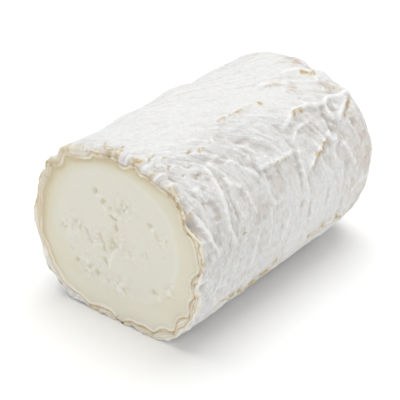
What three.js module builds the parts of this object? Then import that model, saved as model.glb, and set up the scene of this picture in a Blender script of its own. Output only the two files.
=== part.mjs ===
// A small goat's-milk cheese log with a bloomy rind, lying on its side with one end cut off.
// Millimetres. The log lies along Y with the cut face towards -Y, +Z is up and the base is z = 0.
// An angle on the log is in degrees, from +X (its right side) towards +Z (its top).
import * as THREE from "three";

// Driving dimensions
const MEAN_RADIUS = 30;
const LENGTH = 88.2;
const END_CORNER = 9; // radius of the uncut end's rounded edge
const END_DOME = 1.4; // how far the uncut end swells at its middle
const END_TAPER = 0.997; // size of the uncut end against the cut one
const CUT_YAW = 0.9; // the knife's slant about Z, degrees
const CUT_PITCH = 1.5; // the knife's slant about X, degrees
const FLAT_DEPTH = 0.95; // how much of the belly is pressed flat on the board
const BELLY = -90; // angle of the underside
// The section's shape as waves round the log: it has sagged wider than tall.
const SECTION_WAVES = [
  { waves: 2, cos: 0.062, sin: 0.002 },
  { waves: 3, cos: -0.006, sin: -0.011 },
  { waves: 4, cos: -0.024, sin: 0.01 },
];

// The cut edge of the rind: a lip that runs in and out in bays, and a soft outer corner.
const LIP_PROUD = 0.45; // the lip stands in front of the paste
const LEAST_LIP = 1.15; // least distance of the lip from the edge
const NARROW_LIP = 1.5; // the same where no bay has begun
const WIDE_LIP = 2.9; // the same in a full bay
const FRONT_SHARE = 0.7; // the soft corner ends before this share of the way to the lip
const FOOT_WIDTH = 0.9; // from the lip in to the paste
const GROOVE_DEPTH = 0.2; // the paste sinks a little next to the rind
const BAY_SWELL = 0.4; // how far the rind bulges forward in a bay
const CORNER_LEAST = 0.35; // rounding between the rind and the cut
const CORNER_WIDE = 0.9; // the same, more, in the bays at the top
const CORNER_SHARE = 0.4; // share of that in the bays that are away from the top
const CORNER_STEP = 0.3; // how much farther along the corner reaches at the top
const TOP_ANGLE = 82; // middle of the stretch where the rind comes softly over the edge
const TOP_REACH = 52;
const CORNER_REACH = 5; // how far along the log the soft corner moves the rows
const EDGE_REACH = 2.2; // how far along the log the edge's own bumps die away
const RIM_PLACE = 0.8; // along the log, where the edge takes its height from the folds
const LIFT_REACH = 1.6;

// Mesh density
const COLUMNS = 116; // round the body; the rim has twice as many
const RIM_ROWS = [0, 0.8, 2, 3.6];
const BODY_ROWS = 27;
const CORNER_ROWS = 4;
const LEAST_FOLD = 1.1; // narrowest fold that the rows and columns can show
const END_ROWS = 3;

const RAD = Math.PI / 180;
const ARC = MEAN_RADIUS * RAD; // millimetres of rind for each degree

// Broad swellings and hollows: place along the log, angle, height, reach along and reach round.
const LUMPS = [
  [-1, 112, -1.1, 4, 10],
  [10, 124, 0.4, 6, 12],
  [72, 124, -0.7, 8, 14],
  [87, 124, -0.8, 4, 10],
  [0, 126, 0.35, 8, 7],
  [0, 88, 0.8, 5, 7],
  [0.8, 30, -3.3, 2.2, 6.5],
  [0.5, 38.5, -1.2, 1.4, 3.6],
  [7.5, 20, 0.4, 2, 5],
  [0, 8, 0.5, 6, 8],
  [0.6, -6, -1.1, 1.8, 5],
  [0, -26, -0.7, 6, 14],
  [36.5, 130, -0.9, 6.5, 14],
  [46.5, 130, 0.35, 5, 12],
  [56.5, 130, -0.5, 4, 12],
  [83, 128, 0.3, 6, 12],
  [84, 100, -0.5, 7, 10],
  [85, 86, 0.5, 5, 4],
  [84, 76, -0.7, 4, 3.5],
  [84, 67, 0.6, 4, 4],
  [84, 57, -0.3, 4, 4],
  [84, 47, 0.8, 4, 4],
  [80, 14, 1.1, 6, 14],
  [80, -24, -0.8, 6, 8],
  [30, -40, -0.5, 13, 13],
  [52, -40, -0.2, 8, 10],
  [79, -42, -1.4, 8, 12],
  [78, 59, -0.5, 3.4, 6],
  [59, 38, -0.6, 4, 6],
  [76.2, 46, 0.2, 1.7, 2.6],
  [47, 22, -0.4, 3, 8],
  [40, 195, 0.7, 16, 18],
  [66, 225, -0.6, 12, 14],
  [14, 210, -0.6, 10, 16],
];

// Folds of the rind. Each path is a line of places [along the log, angle]. A fold rises by
// height, and falls away over left and right millimetres to each side of its path.
const FOLDS = [
  { name: "long crease", height: 1.1, left: 0.5, right: 1.6,
    path: [
      [16.1, 57.7], [15.9, 52.2], [15.3, 45], [14.6, 39.5], [14, 33.5], [13.5, 25.8], [13.4, 18.3],
      [14.6, 10.9], [16, 5],
    ] },
  { name: "long hollow", height: -0.45, left: 1.1, right: 0.8,
    path: [
      [18.2, 46], [17.7, 37.9], [17, 29.8], [16.9, 21.6], [17, 14.8],
    ] },
  { name: "crease twin", height: 0.55, left: 0.7, right: 0.9,
    path: [
      [17.8, 53.5], [17.7, 48.3], [19, 44.4], [20.7, 40],
    ] },
  { name: "crease follower", height: 0.55, left: 0.7, right: 0.9,
    path: [
      [18.3, 42], [19.5, 37], [22.2, 31.5],
    ] },
  { name: "arc wrinkle", height: 0.55, left: 0.7, right: 0.9,
    path: [
      [28.2, 52.7], [29.8, 49.5], [30.9, 44.4],
    ] },
  { name: "upper slant", height: 0.5, left: 0.8, right: 1.1,
    path: [
      [25.1, 49.9], [25.5, 45.2], [27.1, 39.7],
    ] },
  { name: "lower slant", height: 0.6, left: 0.7, right: 1.1,
    path: [
      [27.3, 42.4], [28.6, 37], [31.2, 31.4],
    ] },
  { name: "shelf", height: 1, left: 4.5, right: 0.8,
    path: [
      [30.3, 36.2], [31.6, 35.1], [34.6, 34.8], [37.6, 34], [41.2, 33.6], [44.8, 34], [49.2, 35.5],
    ] },
  { name: "shelf drop", height: 0.5, left: 0.8, right: 0.9,
    path: [
      [33.5, 33.9], [32.8, 27.2], [32.1, 19.4], [34.6, 10.8],
    ] },
  { name: "wedge crest", height: 0.6, left: 0.9, right: 1.2,
    path: [
      [50, 37], [49.4, 30.8], [49, 23.6], [49.9, 15.5],
    ] },
  { name: "side streak", height: 1.1, left: 3.4, right: 0.8,
    path: [
      [49.5, 19.6], [53.8, 23.8], [57.2, 26.8], [60.9, 29.8], [64.4, 32.1],
    ] },
  { name: "ridge", height: 1, left: 2.6, right: 1.3,
    path: [
      [46.8, 44.6], [51.2, 48.4], [54.7, 51.4], [57.4, 53], [60, 52.6], [63.4, 51.4], [66.4, 49],
      [69.4, 47], [73, 45.6],
    ] },
  { name: "end brow", height: 1, left: 1.4, right: 1.6,
    path: [
      [69.4, 47], [72.2, 48.6], [75.2, 48.3], [79.5, 47.2], [83.5, 47],
    ] },
  { name: "far top crest", height: 0.8, left: 1.2, right: 0.9,
    path: [
      [69, 82], [72.4, 80.6], [75.4, 77.6], [77.6, 73.8], [80.4, 70],
    ] },
  { name: "facet groove", height: -0.45, left: 0.6, right: 0.6,
    path: [
      [68.4, 48], [67.8, 44], [67.2, 38], [67, 33], [67.6, 28],
    ] },
  { name: "facet foot", height: 0.75, left: 0.9, right: 1.3,
    path: [
      [64, 34.3], [65.5, 28.9], [67.9, 24],
    ] },
  { name: "left of the vee", height: 0.9, left: 0.8, right: 0.9,
    path: [
      [71.4, 50], [69.8, 45.3], [69.2, 39.4], [69.6, 35.4],
    ] },
  { name: "right of the vee", height: 1.1, left: 1.6, right: 0.9,
    path: [
      [69.9, 35.4], [72.9, 38.5], [77.1, 42.1], [80.6, 45.5],
    ] },
  { name: "far crest", height: 0.7, left: 0.9, right: 1.1,
    path: [
      [69.3, 26.7], [70.2, 20.4], [71.5, 13.3], [73.3, 6.3],
    ] },
  { name: "far fall", height: 0.5, left: 0.8, right: 1,
    path: [
      [68.7, 31.1], [64.3, 23.3], [63.7, 14.7],
    ] },
  { name: "top streak", height: 0.4, left: 2.5, right: 0.9,
    path: [
      [31, 72.1], [34.5, 72.1], [37.6, 71.3], [40.2, 69.8], [42.9, 69.3], [46.4, 70.5], [51.4, 69.3],
    ] },
  { name: "far top fold", height: 0.7, left: 1.6, right: 1.2,
    path: [
      [57.6, 81.2], [60.2, 79.5], [62.4, 75.5], [65.4, 72.3], [67.8, 69.9], [69.8, 69.2],
    ] },
  { name: "far top edge", height: 0.5, left: 1.6, right: 1.4,
    path: [
      [79.4, 67.5], [77.6, 64.2], [76.6, 57.6], [74.4, 51.7],
    ] },
  { name: "pocket rim", height: 0.9, left: 0.6, right: 0.8,
    path: [
      [1.2, 40], [2.2, 36.8], [2.8, 33.5], [3.3, 30], [3.5, 25.2], [3.9, 19.2], [5.3, 15], [7, 11],
      [8.6, 7],
    ] },
  { name: "second side fold", height: 0.5, left: 0.7, right: 0.9,
    path: [
      [22.2, 31.5], [23.8, 23.2], [26.1, 14.3],
    ] },
  { name: "upper valley", height: -0.4, left: 1.2, right: 1.5,
    path: [
      [26.2, 63.6], [27.5, 59.2], [30.4, 55.1], [34.3, 52.9], [39.1, 51.6],
    ] },
  { name: "far seam", height: 0.6, left: 1.6, right: 0.8,
    path: [
      [75, -26], [70, -23.6], [66, -22], [61, -20.4], [56, -22.6], [51, -22], [46, -20.5],
    ] },
  { name: "middle seam", height: 0.5, left: 1.6, right: 0.8,
    path: [
      [40, -21.3], [35.8, -22.6], [32.1, -24.5],
    ] },
  { name: "near seam", height: 0.5, left: 1.6, right: 0.8,
    path: [
      [39.5, -23], [37, -25.5], [33, -27], [28, -31], [22.8, -31.4], [15, -26], [9, -26],
    ] },
  { name: "low end ridge", height: 0.6, left: 1.2, right: 1.6,
    path: [
      [69.4, -8.1], [72.8, -4.7], [76.7, -3.1], [83.3, -4],
    ] },
];
const FOLD_BOLDNESS = 1.2;

// The side that is turned away has folds of the same kinds, laid by a rule.
const BACK_FOLDS = { count: 16, seed: 11, near: 4, far: 82, low: 138, high: 246, height: 0.75 };

// Small bumps and notches of the cut edge: angle, reach round, how far out.
const EDGE_BUMPS = [
  [159, 4, 0.3],
  [152.5, 1.6, -0.4],
  [148, 3.6, 0.6],
  [138.8, 2.2, -1],
  [132, 4, 0.2],
  [120, 4, 0.2],
  [-104, 3, 0.3],
  [-127.5, 1.6, 0.3],
  [-130.5, 1.6, -0.5],
  [-135, 2.4, 0.6],
  [-139.5, 1.7, -0.4],
  [-146, 3.6, 0.5],
  [-153, 3, -0.2],
];
// Where the cut edge lifts off the board: angle, reach round, height.
const LIFTS = [
  [-76.5, 4.2, 1.7],
  [-89.5, 3, 0.7],
  [-100.5, 3, 1.1],
  [-106.5, 1.6, 0.7],
];
// The inner lip of the cut rind: angle and distance from the edge.
const LIP = [
  [-180, 2.2], [-175, 2.2], [-165, 1.8], [-155, 3], [-145, 2], [-140, 2.2], [-133, 1.3],
  [-122, 2.4], [-112.5, 1.4],
  [-102, 3], [-96, 3.3], [-86, 1.5], [-77, 3.6], [-73, 3], [-70, 3.4], [-60, 1.9], [-54, 3.4],
  [-47, 1.7], [-35, 4], [-29, 2], [-26.5, 2], [-20.5, 3.8], [-14.5, 2.8], [-6.5, 4.6], [6, 1.8],
  [11, 2.2], [15, 2.2], [24.5, 3.2], [27, 4.4], [31, 4.4], [40, 2.3], [43, 2.5], [45.5, 1.9],
  [48, 1.9], [58, 2.6], [61, 2.6], [64, 2.5], [67, 2.5], [70, 2.8], [75, 1.4], [78, 1.4], [86, 3.1],
  [91.5, 1.5], [98.5, 2.3], [101, 1.7], [105, 1.7], [115, 3.7], [125, 3.3], [133, 1.7], [140.5, 3.1],
  [148, 1.3], [155, 2.3], [164, 1.3], [175, 1.9], [180, 2.2],
];

// Fine wrinkles: width of one wrinkle, its length and height.
const SWELLS = { width: 15, length: 17, height: 0.7, seed: 3 };
const WRINKLES = { width: 4.6, length: 13, height: 0.8, seed: 5 };
const CRUMPLE = { width: 3.4, length: 4.2, height: 0.8, seed: 7, reach: 9 };
const WANDER = { pitch: 6, amount: 0.5, seed: 21 }; // keeps the folds' paths from being straight
// The wrinkles go up the right side. From it they slant towards the cut, over the top and down to
// the belly; the slant down is most near the cut.
const BEND = 55;
const BEND_ANGLE = 22;
const LOW_ANGLE = 12;
const LOW_REACH = 60;
const LOW_SLANT = 1.15;
const LEAST_SLANT = 0.2;
const SLANT_FALL = 0.026;
const LOW_START = 16; // from this angle down to LOW_END the wrinkles get lower
const LOW_END = -6;
const LOW_SHARE = 0.65; // share of their height that is lost
// The top is the smoothest part of the rind: it starts lower towards the uncut end.
const TOP_START = 54;
const TOP_SHIFT = 14;
const TOP_SHIFT_FROM = 34; // along the log
const TOP_SHIFT_TO = 54;
const TOP_SOFT = 28;
const TOP_END = 150;
const TOP_END_SOFT = 22;
const TOP_FAR = 92; // along the log, where the smooth part is over
const TOP_FAR_SOFT = 12;
const TOP_SHARE = 0.64; // share of the wrinkles that is lost on the top
const TOP_CUT_REACH = 12; // near the cut only half of that

// Holes in the paste: x, z above the middle, across, depth.
const HOLES = [
  [-7.6, 13.9, 2, 0.6],
  [12, 10, 2, 0.5],
  [13.7, -11, 2.5, 0.7],
  [-19.2, -2.2, 1.5, 0.4],
  [-14.8, -11.3, 1.4, 0.4],
  [-7.6, -13.2, 1.9, 0.5],
  [-3.4, -13.9, 1.7, 0.4],
  [2.8, -15.6, 1.6, 0.4],
];
// Cracks in the paste: a line of [x, z] and the width at its middle. They are shallow.
const CRACK_DEPTH = 0.45;
const CRACKS = [
  { width: 1.1, path: [[-5.6, 11.6], [-3.6, 10.2], [-2.3, 9.2], [-1, 6.6], [-0.4, 4]] },
  { width: 0.9, path: [[-15.5, -0.4], [-12, 0.9], [-8.4, 0.2]] },
  { width: 1, path: [[-6.6, -0.3], [-5.2, -4], [-4.2, -7.4], [-3.5, -9.6]] },
  { width: 0.8, path: [[14.2, 7.2], [15.8, 5.6], [16.9, 3]] },
];

const COLOURS = { rind: 0xf2f0ea };

// A repeatable draw from 0 to 1 for a whole-number place.
function draw(i, j, seed) {
  let h = Math.imul(i, 374761393) ^ Math.imul(j, 668265263) ^ Math.imul(seed, 974634777);
  h = Math.imul(h ^ (h >>> 13), 1274126177);
  h = Math.imul(h ^ (h >>> 15), 668265263);
  return ((h ^ (h >>> 16)) >>> 0) / 4294967296;
}

const smooth = (t) => t * t * t * (t * (6 * t - 15) + 10);
const ramp = (from, to, v) => smooth(Math.min(Math.max((v - from) / (to - from), 0), 1));

// Smooth random field from -1 to 1 with one bump for each unit.
function field(u, v, seed) {
  const i = Math.floor(u);
  const j = Math.floor(v);
  const s = smooth(u - i);
  const t = smooth(v - j);
  const low = draw(i, j, seed) * (1 - s) + draw(i + 1, j, seed) * s;
  const high = draw(i, j + 1, seed) * (1 - s) + draw(i + 1, j + 1, seed) * s;
  return 2 * (low * (1 - t) + high * t) - 1;
}

// Wrinkles as long crests: the field's zero lines become ridges.
function crests(kind, y, arc) {
  return kind.height * (0.5 - Math.abs(field(y / kind.width, arc / kind.length, kind.seed)));
}

// The shape across a fold: 1 on its line, which is sharp, falling away on both sides.
const crease = (away) => Math.exp(0.25 - Math.sqrt(0.0625 + 2.2 * away ** 2));

// The turn from one angle to another, from -180 to 180 degrees.
const turnBetween = (angle, from) => ((((angle - from + 180) % 360) + 360) % 360) - 180;

// Angle brought into the range from the belly once round to the belly again.
const aroundFromBelly = (angle) => BELLY + ((((angle - BELLY) % 360) + 360) % 360);

function backFolds({ count, seed, near, far, low, high, height }) {
  const folds = [];
  for (let n = 0; n < count; n++) {
    const y = near + ((far - near) * (n + draw(n, 1, seed))) / count;
    const angle = low + (high - low) * draw(n, 2, seed);
    const turn = Math.PI * (0.1 + 0.8 * draw(n, 3, seed));
    const reach = 5 + 6 * draw(n, 4, seed);
    const bend = 3 * (draw(n, 5, seed) - 0.5);
    const alongY = reach * Math.cos(turn);
    const alongAngle = (reach * Math.sin(turn)) / ARC;
    folds.push({
      name: "back fold " + (n + 1),
      height: height * (0.6 + 0.6 * draw(n, 6, seed)),
      left: 1 + 2 * draw(n, 7, seed),
      right: 1,
      path: [
        [y - alongY, angle - alongAngle],
        [y + bend, angle],
        [y + alongY, angle + alongAngle],
      ],
    });
  }
  return folds;
}

const ALL_FOLDS = [...FOLDS, ...backFolds(BACK_FOLDS)];

// Height of one fold at a place on the rind, both in millimetres along and round the log.
function foldHeight(fold, y, arc) {
  const points = fold.path.map(([py, angle]) => [py, angle * ARC]);
  let nearest = Infinity;
  let side = 0;
  let travelled = 0;
  let place = 0;
  for (let i = 0; i + 1 < points.length; i++) {
    const [ay, aa] = points[i];
    const dy = points[i + 1][0] - ay;
    const da = points[i + 1][1] - aa;
    const length = Math.hypot(dy, da);
    const t = Math.min(Math.max(((y - ay) * dy + (arc - aa) * da) / length ** 2, 0), 1);
    const away = Math.hypot(y - ay - t * dy, arc - aa - t * da);
    if (away < nearest) {
      nearest = away;
      side = dy * (arc - aa) - da * (y - ay);
      place = travelled + t * length;
    }
    travelled += length;
  }
  const width = Math.max(side > 0 ? fold.left : fold.right, LEAST_FOLD);
  const along = place / travelled;
  const ends = ramp(0, 0.22, along) * ramp(1, 0.78, along);
  return FOLD_BOLDNESS * fold.height * ends * crease(nearest / width);
}

// How much a place belongs to the smooth top, from 0 to 1.
function smoothTop(y, turned) {
  const start = TOP_START - TOP_SHIFT * ramp(TOP_SHIFT_FROM, TOP_SHIFT_TO, y);
  const round = ramp(start, start + TOP_SOFT, turned) * ramp(TOP_END, TOP_END - TOP_END_SOFT, turned);
  return round * ramp(TOP_FAR, TOP_FAR - TOP_FAR_SOFT, y) * (0.5 + 0.5 * ramp(0, TOP_CUT_REACH, y));
}

// How far along the log the wrinkle that runs through a place leaves the side.
function flow(y, turned) {
  const down = ARC * Math.min(Math.max(LOW_ANGLE - turned, 0), LOW_REACH);
  const over = Math.min(Math.max(turned - BEND_ANGLE, 0), 180);
  const slanted = (y + LOW_SLANT * down) / (1 + SLANT_FALL * down);
  return Math.max(y + LEAST_SLANT * down, slanted) + BEND * (1 - Math.cos(over * RAD));
}

// How far the rind stands out from the plain section at a place along and round the log.
function relief(y, angle) {
  const turned = aroundFromBelly(angle);
  const arc = turned * ARC;
  const wanderY = WANDER.amount * field(y / WANDER.pitch, arc / WANDER.pitch, WANDER.seed);
  const wanderArc = WANDER.amount * field(y / WANDER.pitch, arc / WANDER.pitch, WANDER.seed + 1);
  let height = SWELLS.height * field(y / SWELLS.width, arc / SWELLS.length, SWELLS.seed);
  for (const [ly, la, rise, reachY, reachAngle] of LUMPS) {
    height += rise * Math.exp(-(((y - ly) / reachY) ** 2) - ((turned - la) / reachAngle) ** 2);
  }
  for (const fold of ALL_FOLDS) {
    height += foldHeight(fold, y + wanderY, arc + wanderArc);
  }
  const calm = 1 - TOP_SHARE * smoothTop(y, turned);
  const firm = 1 - LOW_SHARE * ramp(LOW_START, LOW_END, turned);
  height += calm * firm * crests(WRINKLES, flow(y, turned), arc);
  height += calm * Math.exp(-y / CRUMPLE.reach) * crests(CRUMPLE, y, arc);
  const fromBelly = Math.min(turned - BELLY, BELLY + 360 - turned);
  return height * ramp(12, 34, fromBelly);
}

// The in and out of the cut edge.
function edgeOut(angle) {
  let out = 0;
  for (const [middleAngle, reach, rise] of EDGE_BUMPS) {
    out += rise * Math.exp(-((turnBetween(angle, middleAngle) / reach) ** 2));
  }
  return out;
}

// Where the cut edge lifts off the board, so that a gap shows under it.
function liftIn(y, angle) {
  let rise = 0;
  for (const [middleAngle, reach, height] of LIFTS) {
    rise += height * Math.exp(-((turnBetween(angle, middleAngle) / reach) ** 4));
  }
  return rise * Math.exp(-((y / LIFT_REACH) ** 2));
}

// How far the cut edge stands out from the plain section.
const rim = (angle) => relief(RIM_PLACE, angle) + edgeOut(angle) - liftIn(0, angle);

// Distance of the lip from the edge.
function lipInset(angle) {
  const turned = turnBetween(angle, 0);
  const next = Math.max(LIP.findIndex(([place]) => place > turned), 1);
  const [fromAngle, from] = LIP[next - 1];
  const [toAngle, to] = LIP[next];
  const plain = from + ((to - from) * (turned - fromAngle)) / (toAngle - fromAngle);
  return Math.max(plain + rim(angle), LEAST_LIP);
}

// How much of a bay the cut rind forms, and how much it comes over the edge, both from 0 to 1.
const bay = (angle) => ramp(NARROW_LIP, WIDE_LIP, lipInset(angle));
const top = (angle) => Math.exp(-((turnBetween(angle, TOP_ANGLE) / TOP_REACH) ** 4));

// The soft corner between skin and cut: its reach inwards and along the log.
function corner(angle) {
  const inwards = CORNER_LEAST + CORNER_WIDE * bay(angle) * (CORNER_SHARE + top(angle));
  return { inwards, along: inwards + CORNER_STEP * top(angle) };
}

function sectionRadius(angle) {
  let r = 1;
  for (const { waves, cos, sin } of SECTION_WAVES) {
    r += cos * Math.cos(waves * angle * RAD) + sin * Math.sin(waves * angle * RAD);
  }
  return MEAN_RADIUS * r;
}

// The middle of the section sits at this height, with the belly pressed flat.
const MIDDLE = sectionRadius(BELLY) - FLAT_DEPTH;

// A point of the surface: a place along the log, an angle, a distance in from the plain section,
// a distance out along the surface's own direction, which leans back by tilt at the far corner.
function surfacePoint(angle, y, inset, out = 0, tilt = 0) {
  const taper = 1 + (END_TAPER - 1) * (y / LENGTH);
  const r = sectionRadius(angle) * taper - inset + out * Math.cos(tilt);
  const x = r * Math.cos(angle * RAD);
  const z = MIDDLE + r * Math.sin(angle * RAD);
  return [x, y + out * Math.sin(tilt), Math.max(z, 0)];
}

// The knife's plane: how far along the log the cut lies at a place on the face.
const cutAt = (x, z) => x * Math.tan(CUT_YAW * RAD) + (z - MIDDLE) * Math.tan(CUT_PITCH * RAD);

const vertices = [];
const triangles = [];

function addVertex(x, y, z) {
  vertices.push(x, y, z);
  return vertices.length / 3 - 1;
}

function addLoop(count, pointAt) {
  return Array.from({ length: count }, (_, i) => addVertex(...pointAt((360 * i) / count + BELLY)));
}

// Triangles between two loops that follow one another from the cut face to the far end.
// One loop can have twice the vertices of the other.
function bridge(a, b) {
  const steps = Math.min(a.length, b.length);
  const perA = a.length / steps;
  const perB = b.length / steps;
  for (let i = 0; i < steps; i++) {
    const a0 = a[i * perA];
    const b0 = b[i * perB];
    const a1 = a[((i + 1) * perA) % a.length];
    const b1 = b[((i + 1) * perB) % b.length];
    if (perA === 2) {
      const half = a[i * perA + 1];
      triangles.push(a0, b0, half, half, b0, b1, half, b1, a1);
    } else if (perB === 2) {
      const half = b[i * perB + 1];
      triangles.push(a0, b0, half, a0, half, a1, a1, half, b1);
    } else {
      triangles.push(a0, b0, a1, a1, b0, b1);
    }
  }
}

// A face point: inset from the cut edge, and a depth behind the knife's plane.
function facePoint(angle, inset, depth) {
  const [x, , z] = surfacePoint(angle, 0, inset, rim(angle));
  return [x, cutAt(x, z) + depth, z];
}

// The flat of the paste, with its holes and cracks let in, is the innermost part of the face.
const pasteLoop = addLoop(2 * COLUMNS, (angle) => facePoint(angle, lipInset(angle) + FOOT_WIDTH, 0));

function pasteVertex(x, aboveMiddle, depth) {
  const z = MIDDLE + aboveMiddle;
  return addVertex(x, cutAt(x, z) + depth, z);
}

function sinkHole([cx, cz, across, depth]) {
  const sides = 9;
  const ringOf = (radius, down) =>
    Array.from({ length: sides }, (_, i) => {
      const turn = (-2 * Math.PI * i) / sides;
      const r = radius * (1 + 0.2 * Math.sin(3 * turn + cx));
      return pasteVertex(cx + r * Math.cos(turn), cz + r * Math.sin(turn), down);
    });
  const mouth = ringOf(across / 2, 0);
  const floor = ringOf(across / 4, depth * 0.8);
  const bottom = pasteVertex(cx, cz, depth);
  for (let i = 0; i < sides; i++) {
    const n = (i + 1) % sides;
    triangles.push(mouth[n], mouth[i], floor[i], mouth[n], floor[i], floor[n]);
    triangles.push(floor[n], floor[i], bottom);
  }
  return mouth;
}

function openCrack({ width, path }) {
  const inner = path.slice(1, -1);
  const side = (sign) =>
    inner.map(([x, z], i) => {
      const [ax, az] = path[i];
      const [bx, bz] = path[i + 2];
      const length = Math.hypot(bx - ax, bz - az);
      const half = (sign * width * (0.8 + 0.4 * draw(i, Math.round(x), 41))) / 2;
      return pasteVertex(x - (half * (bz - az)) / length, z + (half * (bx - ax)) / length, 0);
    });
  const start = pasteVertex(...path[0], 0);
  const left = side(1);
  const end = pasteVertex(...path[path.length - 1], 0);
  const right = side(-1);
  const valley = inner.map(([x, z]) => pasteVertex(x, z, CRACK_DEPTH));
  const last = inner.length - 1;
  triangles.push(start, valley[0], left[0], start, right[0], valley[0]);
  for (let i = 0; i < last; i++) {
    triangles.push(left[i], valley[i], left[i + 1], left[i + 1], valley[i], valley[i + 1]);
    triangles.push(right[i], right[i + 1], valley[i], valley[i], right[i + 1], valley[i + 1]);
  }
  triangles.push(end, left[last], valley[last], end, valley[last], right[last]);
  return [start, ...left, end, ...right.reverse()];
}

const mouths = [...HOLES.map(sinkHole), ...CRACKS.map(openCrack)];
const flatOf = (i) => new THREE.Vector2(vertices[3 * i], vertices[3 * i + 2]);
const flatIndex = [...pasteLoop, ...mouths.flat()];
const pasteFaces = THREE.ShapeUtils.triangulateShape(
  pasteLoop.map(flatOf),
  mouths.map((mouth) => mouth.map(flatOf)),
);
for (const face of pasteFaces) {
  triangles.push(...face.map((i) => flatIndex[i]));
}

// From the paste out over the groove and the lip, then along the rind to the far end's middle.
const loops = [pasteLoop];
loops.push(
  addLoop(2 * COLUMNS, (angle) =>
    facePoint(angle, lipInset(angle) + FOOT_WIDTH / 3, GROOVE_DEPTH),
  ),
);
loops.push(addLoop(2 * COLUMNS, (angle) => facePoint(angle, lipInset(angle), -LIP_PROUD)));
loops.push(
  addLoop(2 * COLUMNS, (angle) =>
    facePoint(
      angle,
      Math.min(corner(angle).inwards, FRONT_SHARE * lipInset(angle)),
      -BAY_SWELL * bay(angle),
    ),
  ),
);
for (const row of RIM_ROWS) {
  loops.push(
    addLoop(2 * COLUMNS, (angle) => {
      const start = corner(angle).along;
      const y = row + start * Math.max(1 - row / CORNER_REACH, 0);
      const fading = Math.exp(-(((y - start) / EDGE_REACH) ** 2));
      const plain = relief(y, angle) - liftIn(y - start, angle);
      const edge = rim(angle) + liftIn(0, angle) - relief(start, angle);
      const [x, , z] = surfacePoint(angle, y, 0, plain + fading * edge);
      return [x, y + fading * cutAt(x, z), z];
    }),
  );
}
const bodyStart = RIM_ROWS.at(-1);
const bodyEnd = LENGTH - END_CORNER;
for (let row = 1; row <= BODY_ROWS; row++) {
  const y = bodyStart + ((bodyEnd - bodyStart) * row) / BODY_ROWS;
  loops.push(addLoop(COLUMNS, (angle) => surfacePoint(angle, y, 0, relief(y, angle))));
}
for (let row = 1; row <= CORNER_ROWS; row++) {
  const turn = ((Math.PI / 2) * row) / CORNER_ROWS;
  const y = bodyEnd + END_CORNER * Math.sin(turn);
  const inset = END_CORNER * (1 - Math.cos(turn));
  const fade = 1 - 0.45 * (row / CORNER_ROWS);
  loops.push(
    addLoop(COLUMNS, (angle) => surfacePoint(angle, y, inset, fade * relief(y, angle), turn)),
  );
}
for (let row = 1; row < END_ROWS; row++) {
  const share = row / END_ROWS;
  const rise = END_DOME * (1 - (1 - share) ** 2);
  loops.push(
    addLoop(COLUMNS / 2, (angle) => {
      const inset = END_CORNER + share * (sectionRadius(angle) - END_CORNER);
      const wave = 0.5 * (1 - share) * relief(LENGTH, angle);
      const [x, , z] = surfacePoint(angle, LENGTH, inset);
      return [x, LENGTH + rise + wave, z];
    }),
  );
}
for (let i = 0; i + 1 < loops.length; i++) {
  bridge(loops[i], loops[i + 1]);
}
const lastLoop = loops.at(-1);
const endMiddle = addVertex(0, LENGTH + END_DOME, MIDDLE);
lastLoop.forEach((v, i) => triangles.push(v, endMiddle, lastLoop[(i + 1) % lastLoop.length]));

const geometry = new THREE.BufferGeometry();
geometry.setAttribute("position", new THREE.Float32BufferAttribute(vertices, 3));
geometry.setIndex(triangles);
// The origin is under the middle of the log.
geometry.computeBoundingBox();
const middle = geometry.boundingBox.getCenter(new THREE.Vector3());
geometry.translate(-middle.x, -middle.y, -geometry.boundingBox.min.z);
geometry.computeVertexNormals();

const cheese = new THREE.Mesh(
  geometry,
  new THREE.MeshStandardMaterial({ color: COLOURS.rind, roughness: 0.9, metalness: 0 }),
);
cheese.name = "cheese";

const group = new THREE.Group();
group.name = "cheese_log";
group.add(cheese);

export default group;
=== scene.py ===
# A small ripened goat's-milk cheese log with a wrinkled white rind, cut off flat at one end.
# Inside the script, places on the log are in millimetres along it from the cut, and in degrees
# round it from its right side towards its top. The finished pieces are in metres.
import math

import bmesh
import bpy
import numpy as np
from bpy.props import FloatProperty, FloatVectorProperty, IntProperty, PointerProperty
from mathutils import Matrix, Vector


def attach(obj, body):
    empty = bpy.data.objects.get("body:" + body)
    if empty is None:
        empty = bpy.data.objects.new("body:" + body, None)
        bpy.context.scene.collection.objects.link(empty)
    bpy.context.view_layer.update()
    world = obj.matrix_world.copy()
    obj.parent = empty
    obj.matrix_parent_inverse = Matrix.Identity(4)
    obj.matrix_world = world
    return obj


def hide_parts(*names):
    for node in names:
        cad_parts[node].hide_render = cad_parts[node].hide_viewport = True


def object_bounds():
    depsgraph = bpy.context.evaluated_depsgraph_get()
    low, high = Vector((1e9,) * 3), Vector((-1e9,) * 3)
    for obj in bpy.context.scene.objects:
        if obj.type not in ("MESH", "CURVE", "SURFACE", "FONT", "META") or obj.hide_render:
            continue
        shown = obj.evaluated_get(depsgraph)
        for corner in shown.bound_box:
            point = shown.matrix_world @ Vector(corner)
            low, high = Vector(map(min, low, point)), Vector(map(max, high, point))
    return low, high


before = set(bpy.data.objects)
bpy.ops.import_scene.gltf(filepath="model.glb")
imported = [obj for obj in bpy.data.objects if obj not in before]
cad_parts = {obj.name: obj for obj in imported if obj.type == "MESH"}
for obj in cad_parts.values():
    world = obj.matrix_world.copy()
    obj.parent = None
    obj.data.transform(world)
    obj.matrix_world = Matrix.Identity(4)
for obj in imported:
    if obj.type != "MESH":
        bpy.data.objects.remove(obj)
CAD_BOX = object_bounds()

bl_info = {
    "name": "Rinded cheese log",
    "version": (1, 0, 0),
    "blender": (4, 5, 0),
    "location": "3D View > Sidebar > Cheese",
    "description": "Models a small soft cheese log with a wrinkled bloomy rind and one cut end",
    "category": "Add Mesh",
}

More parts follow.
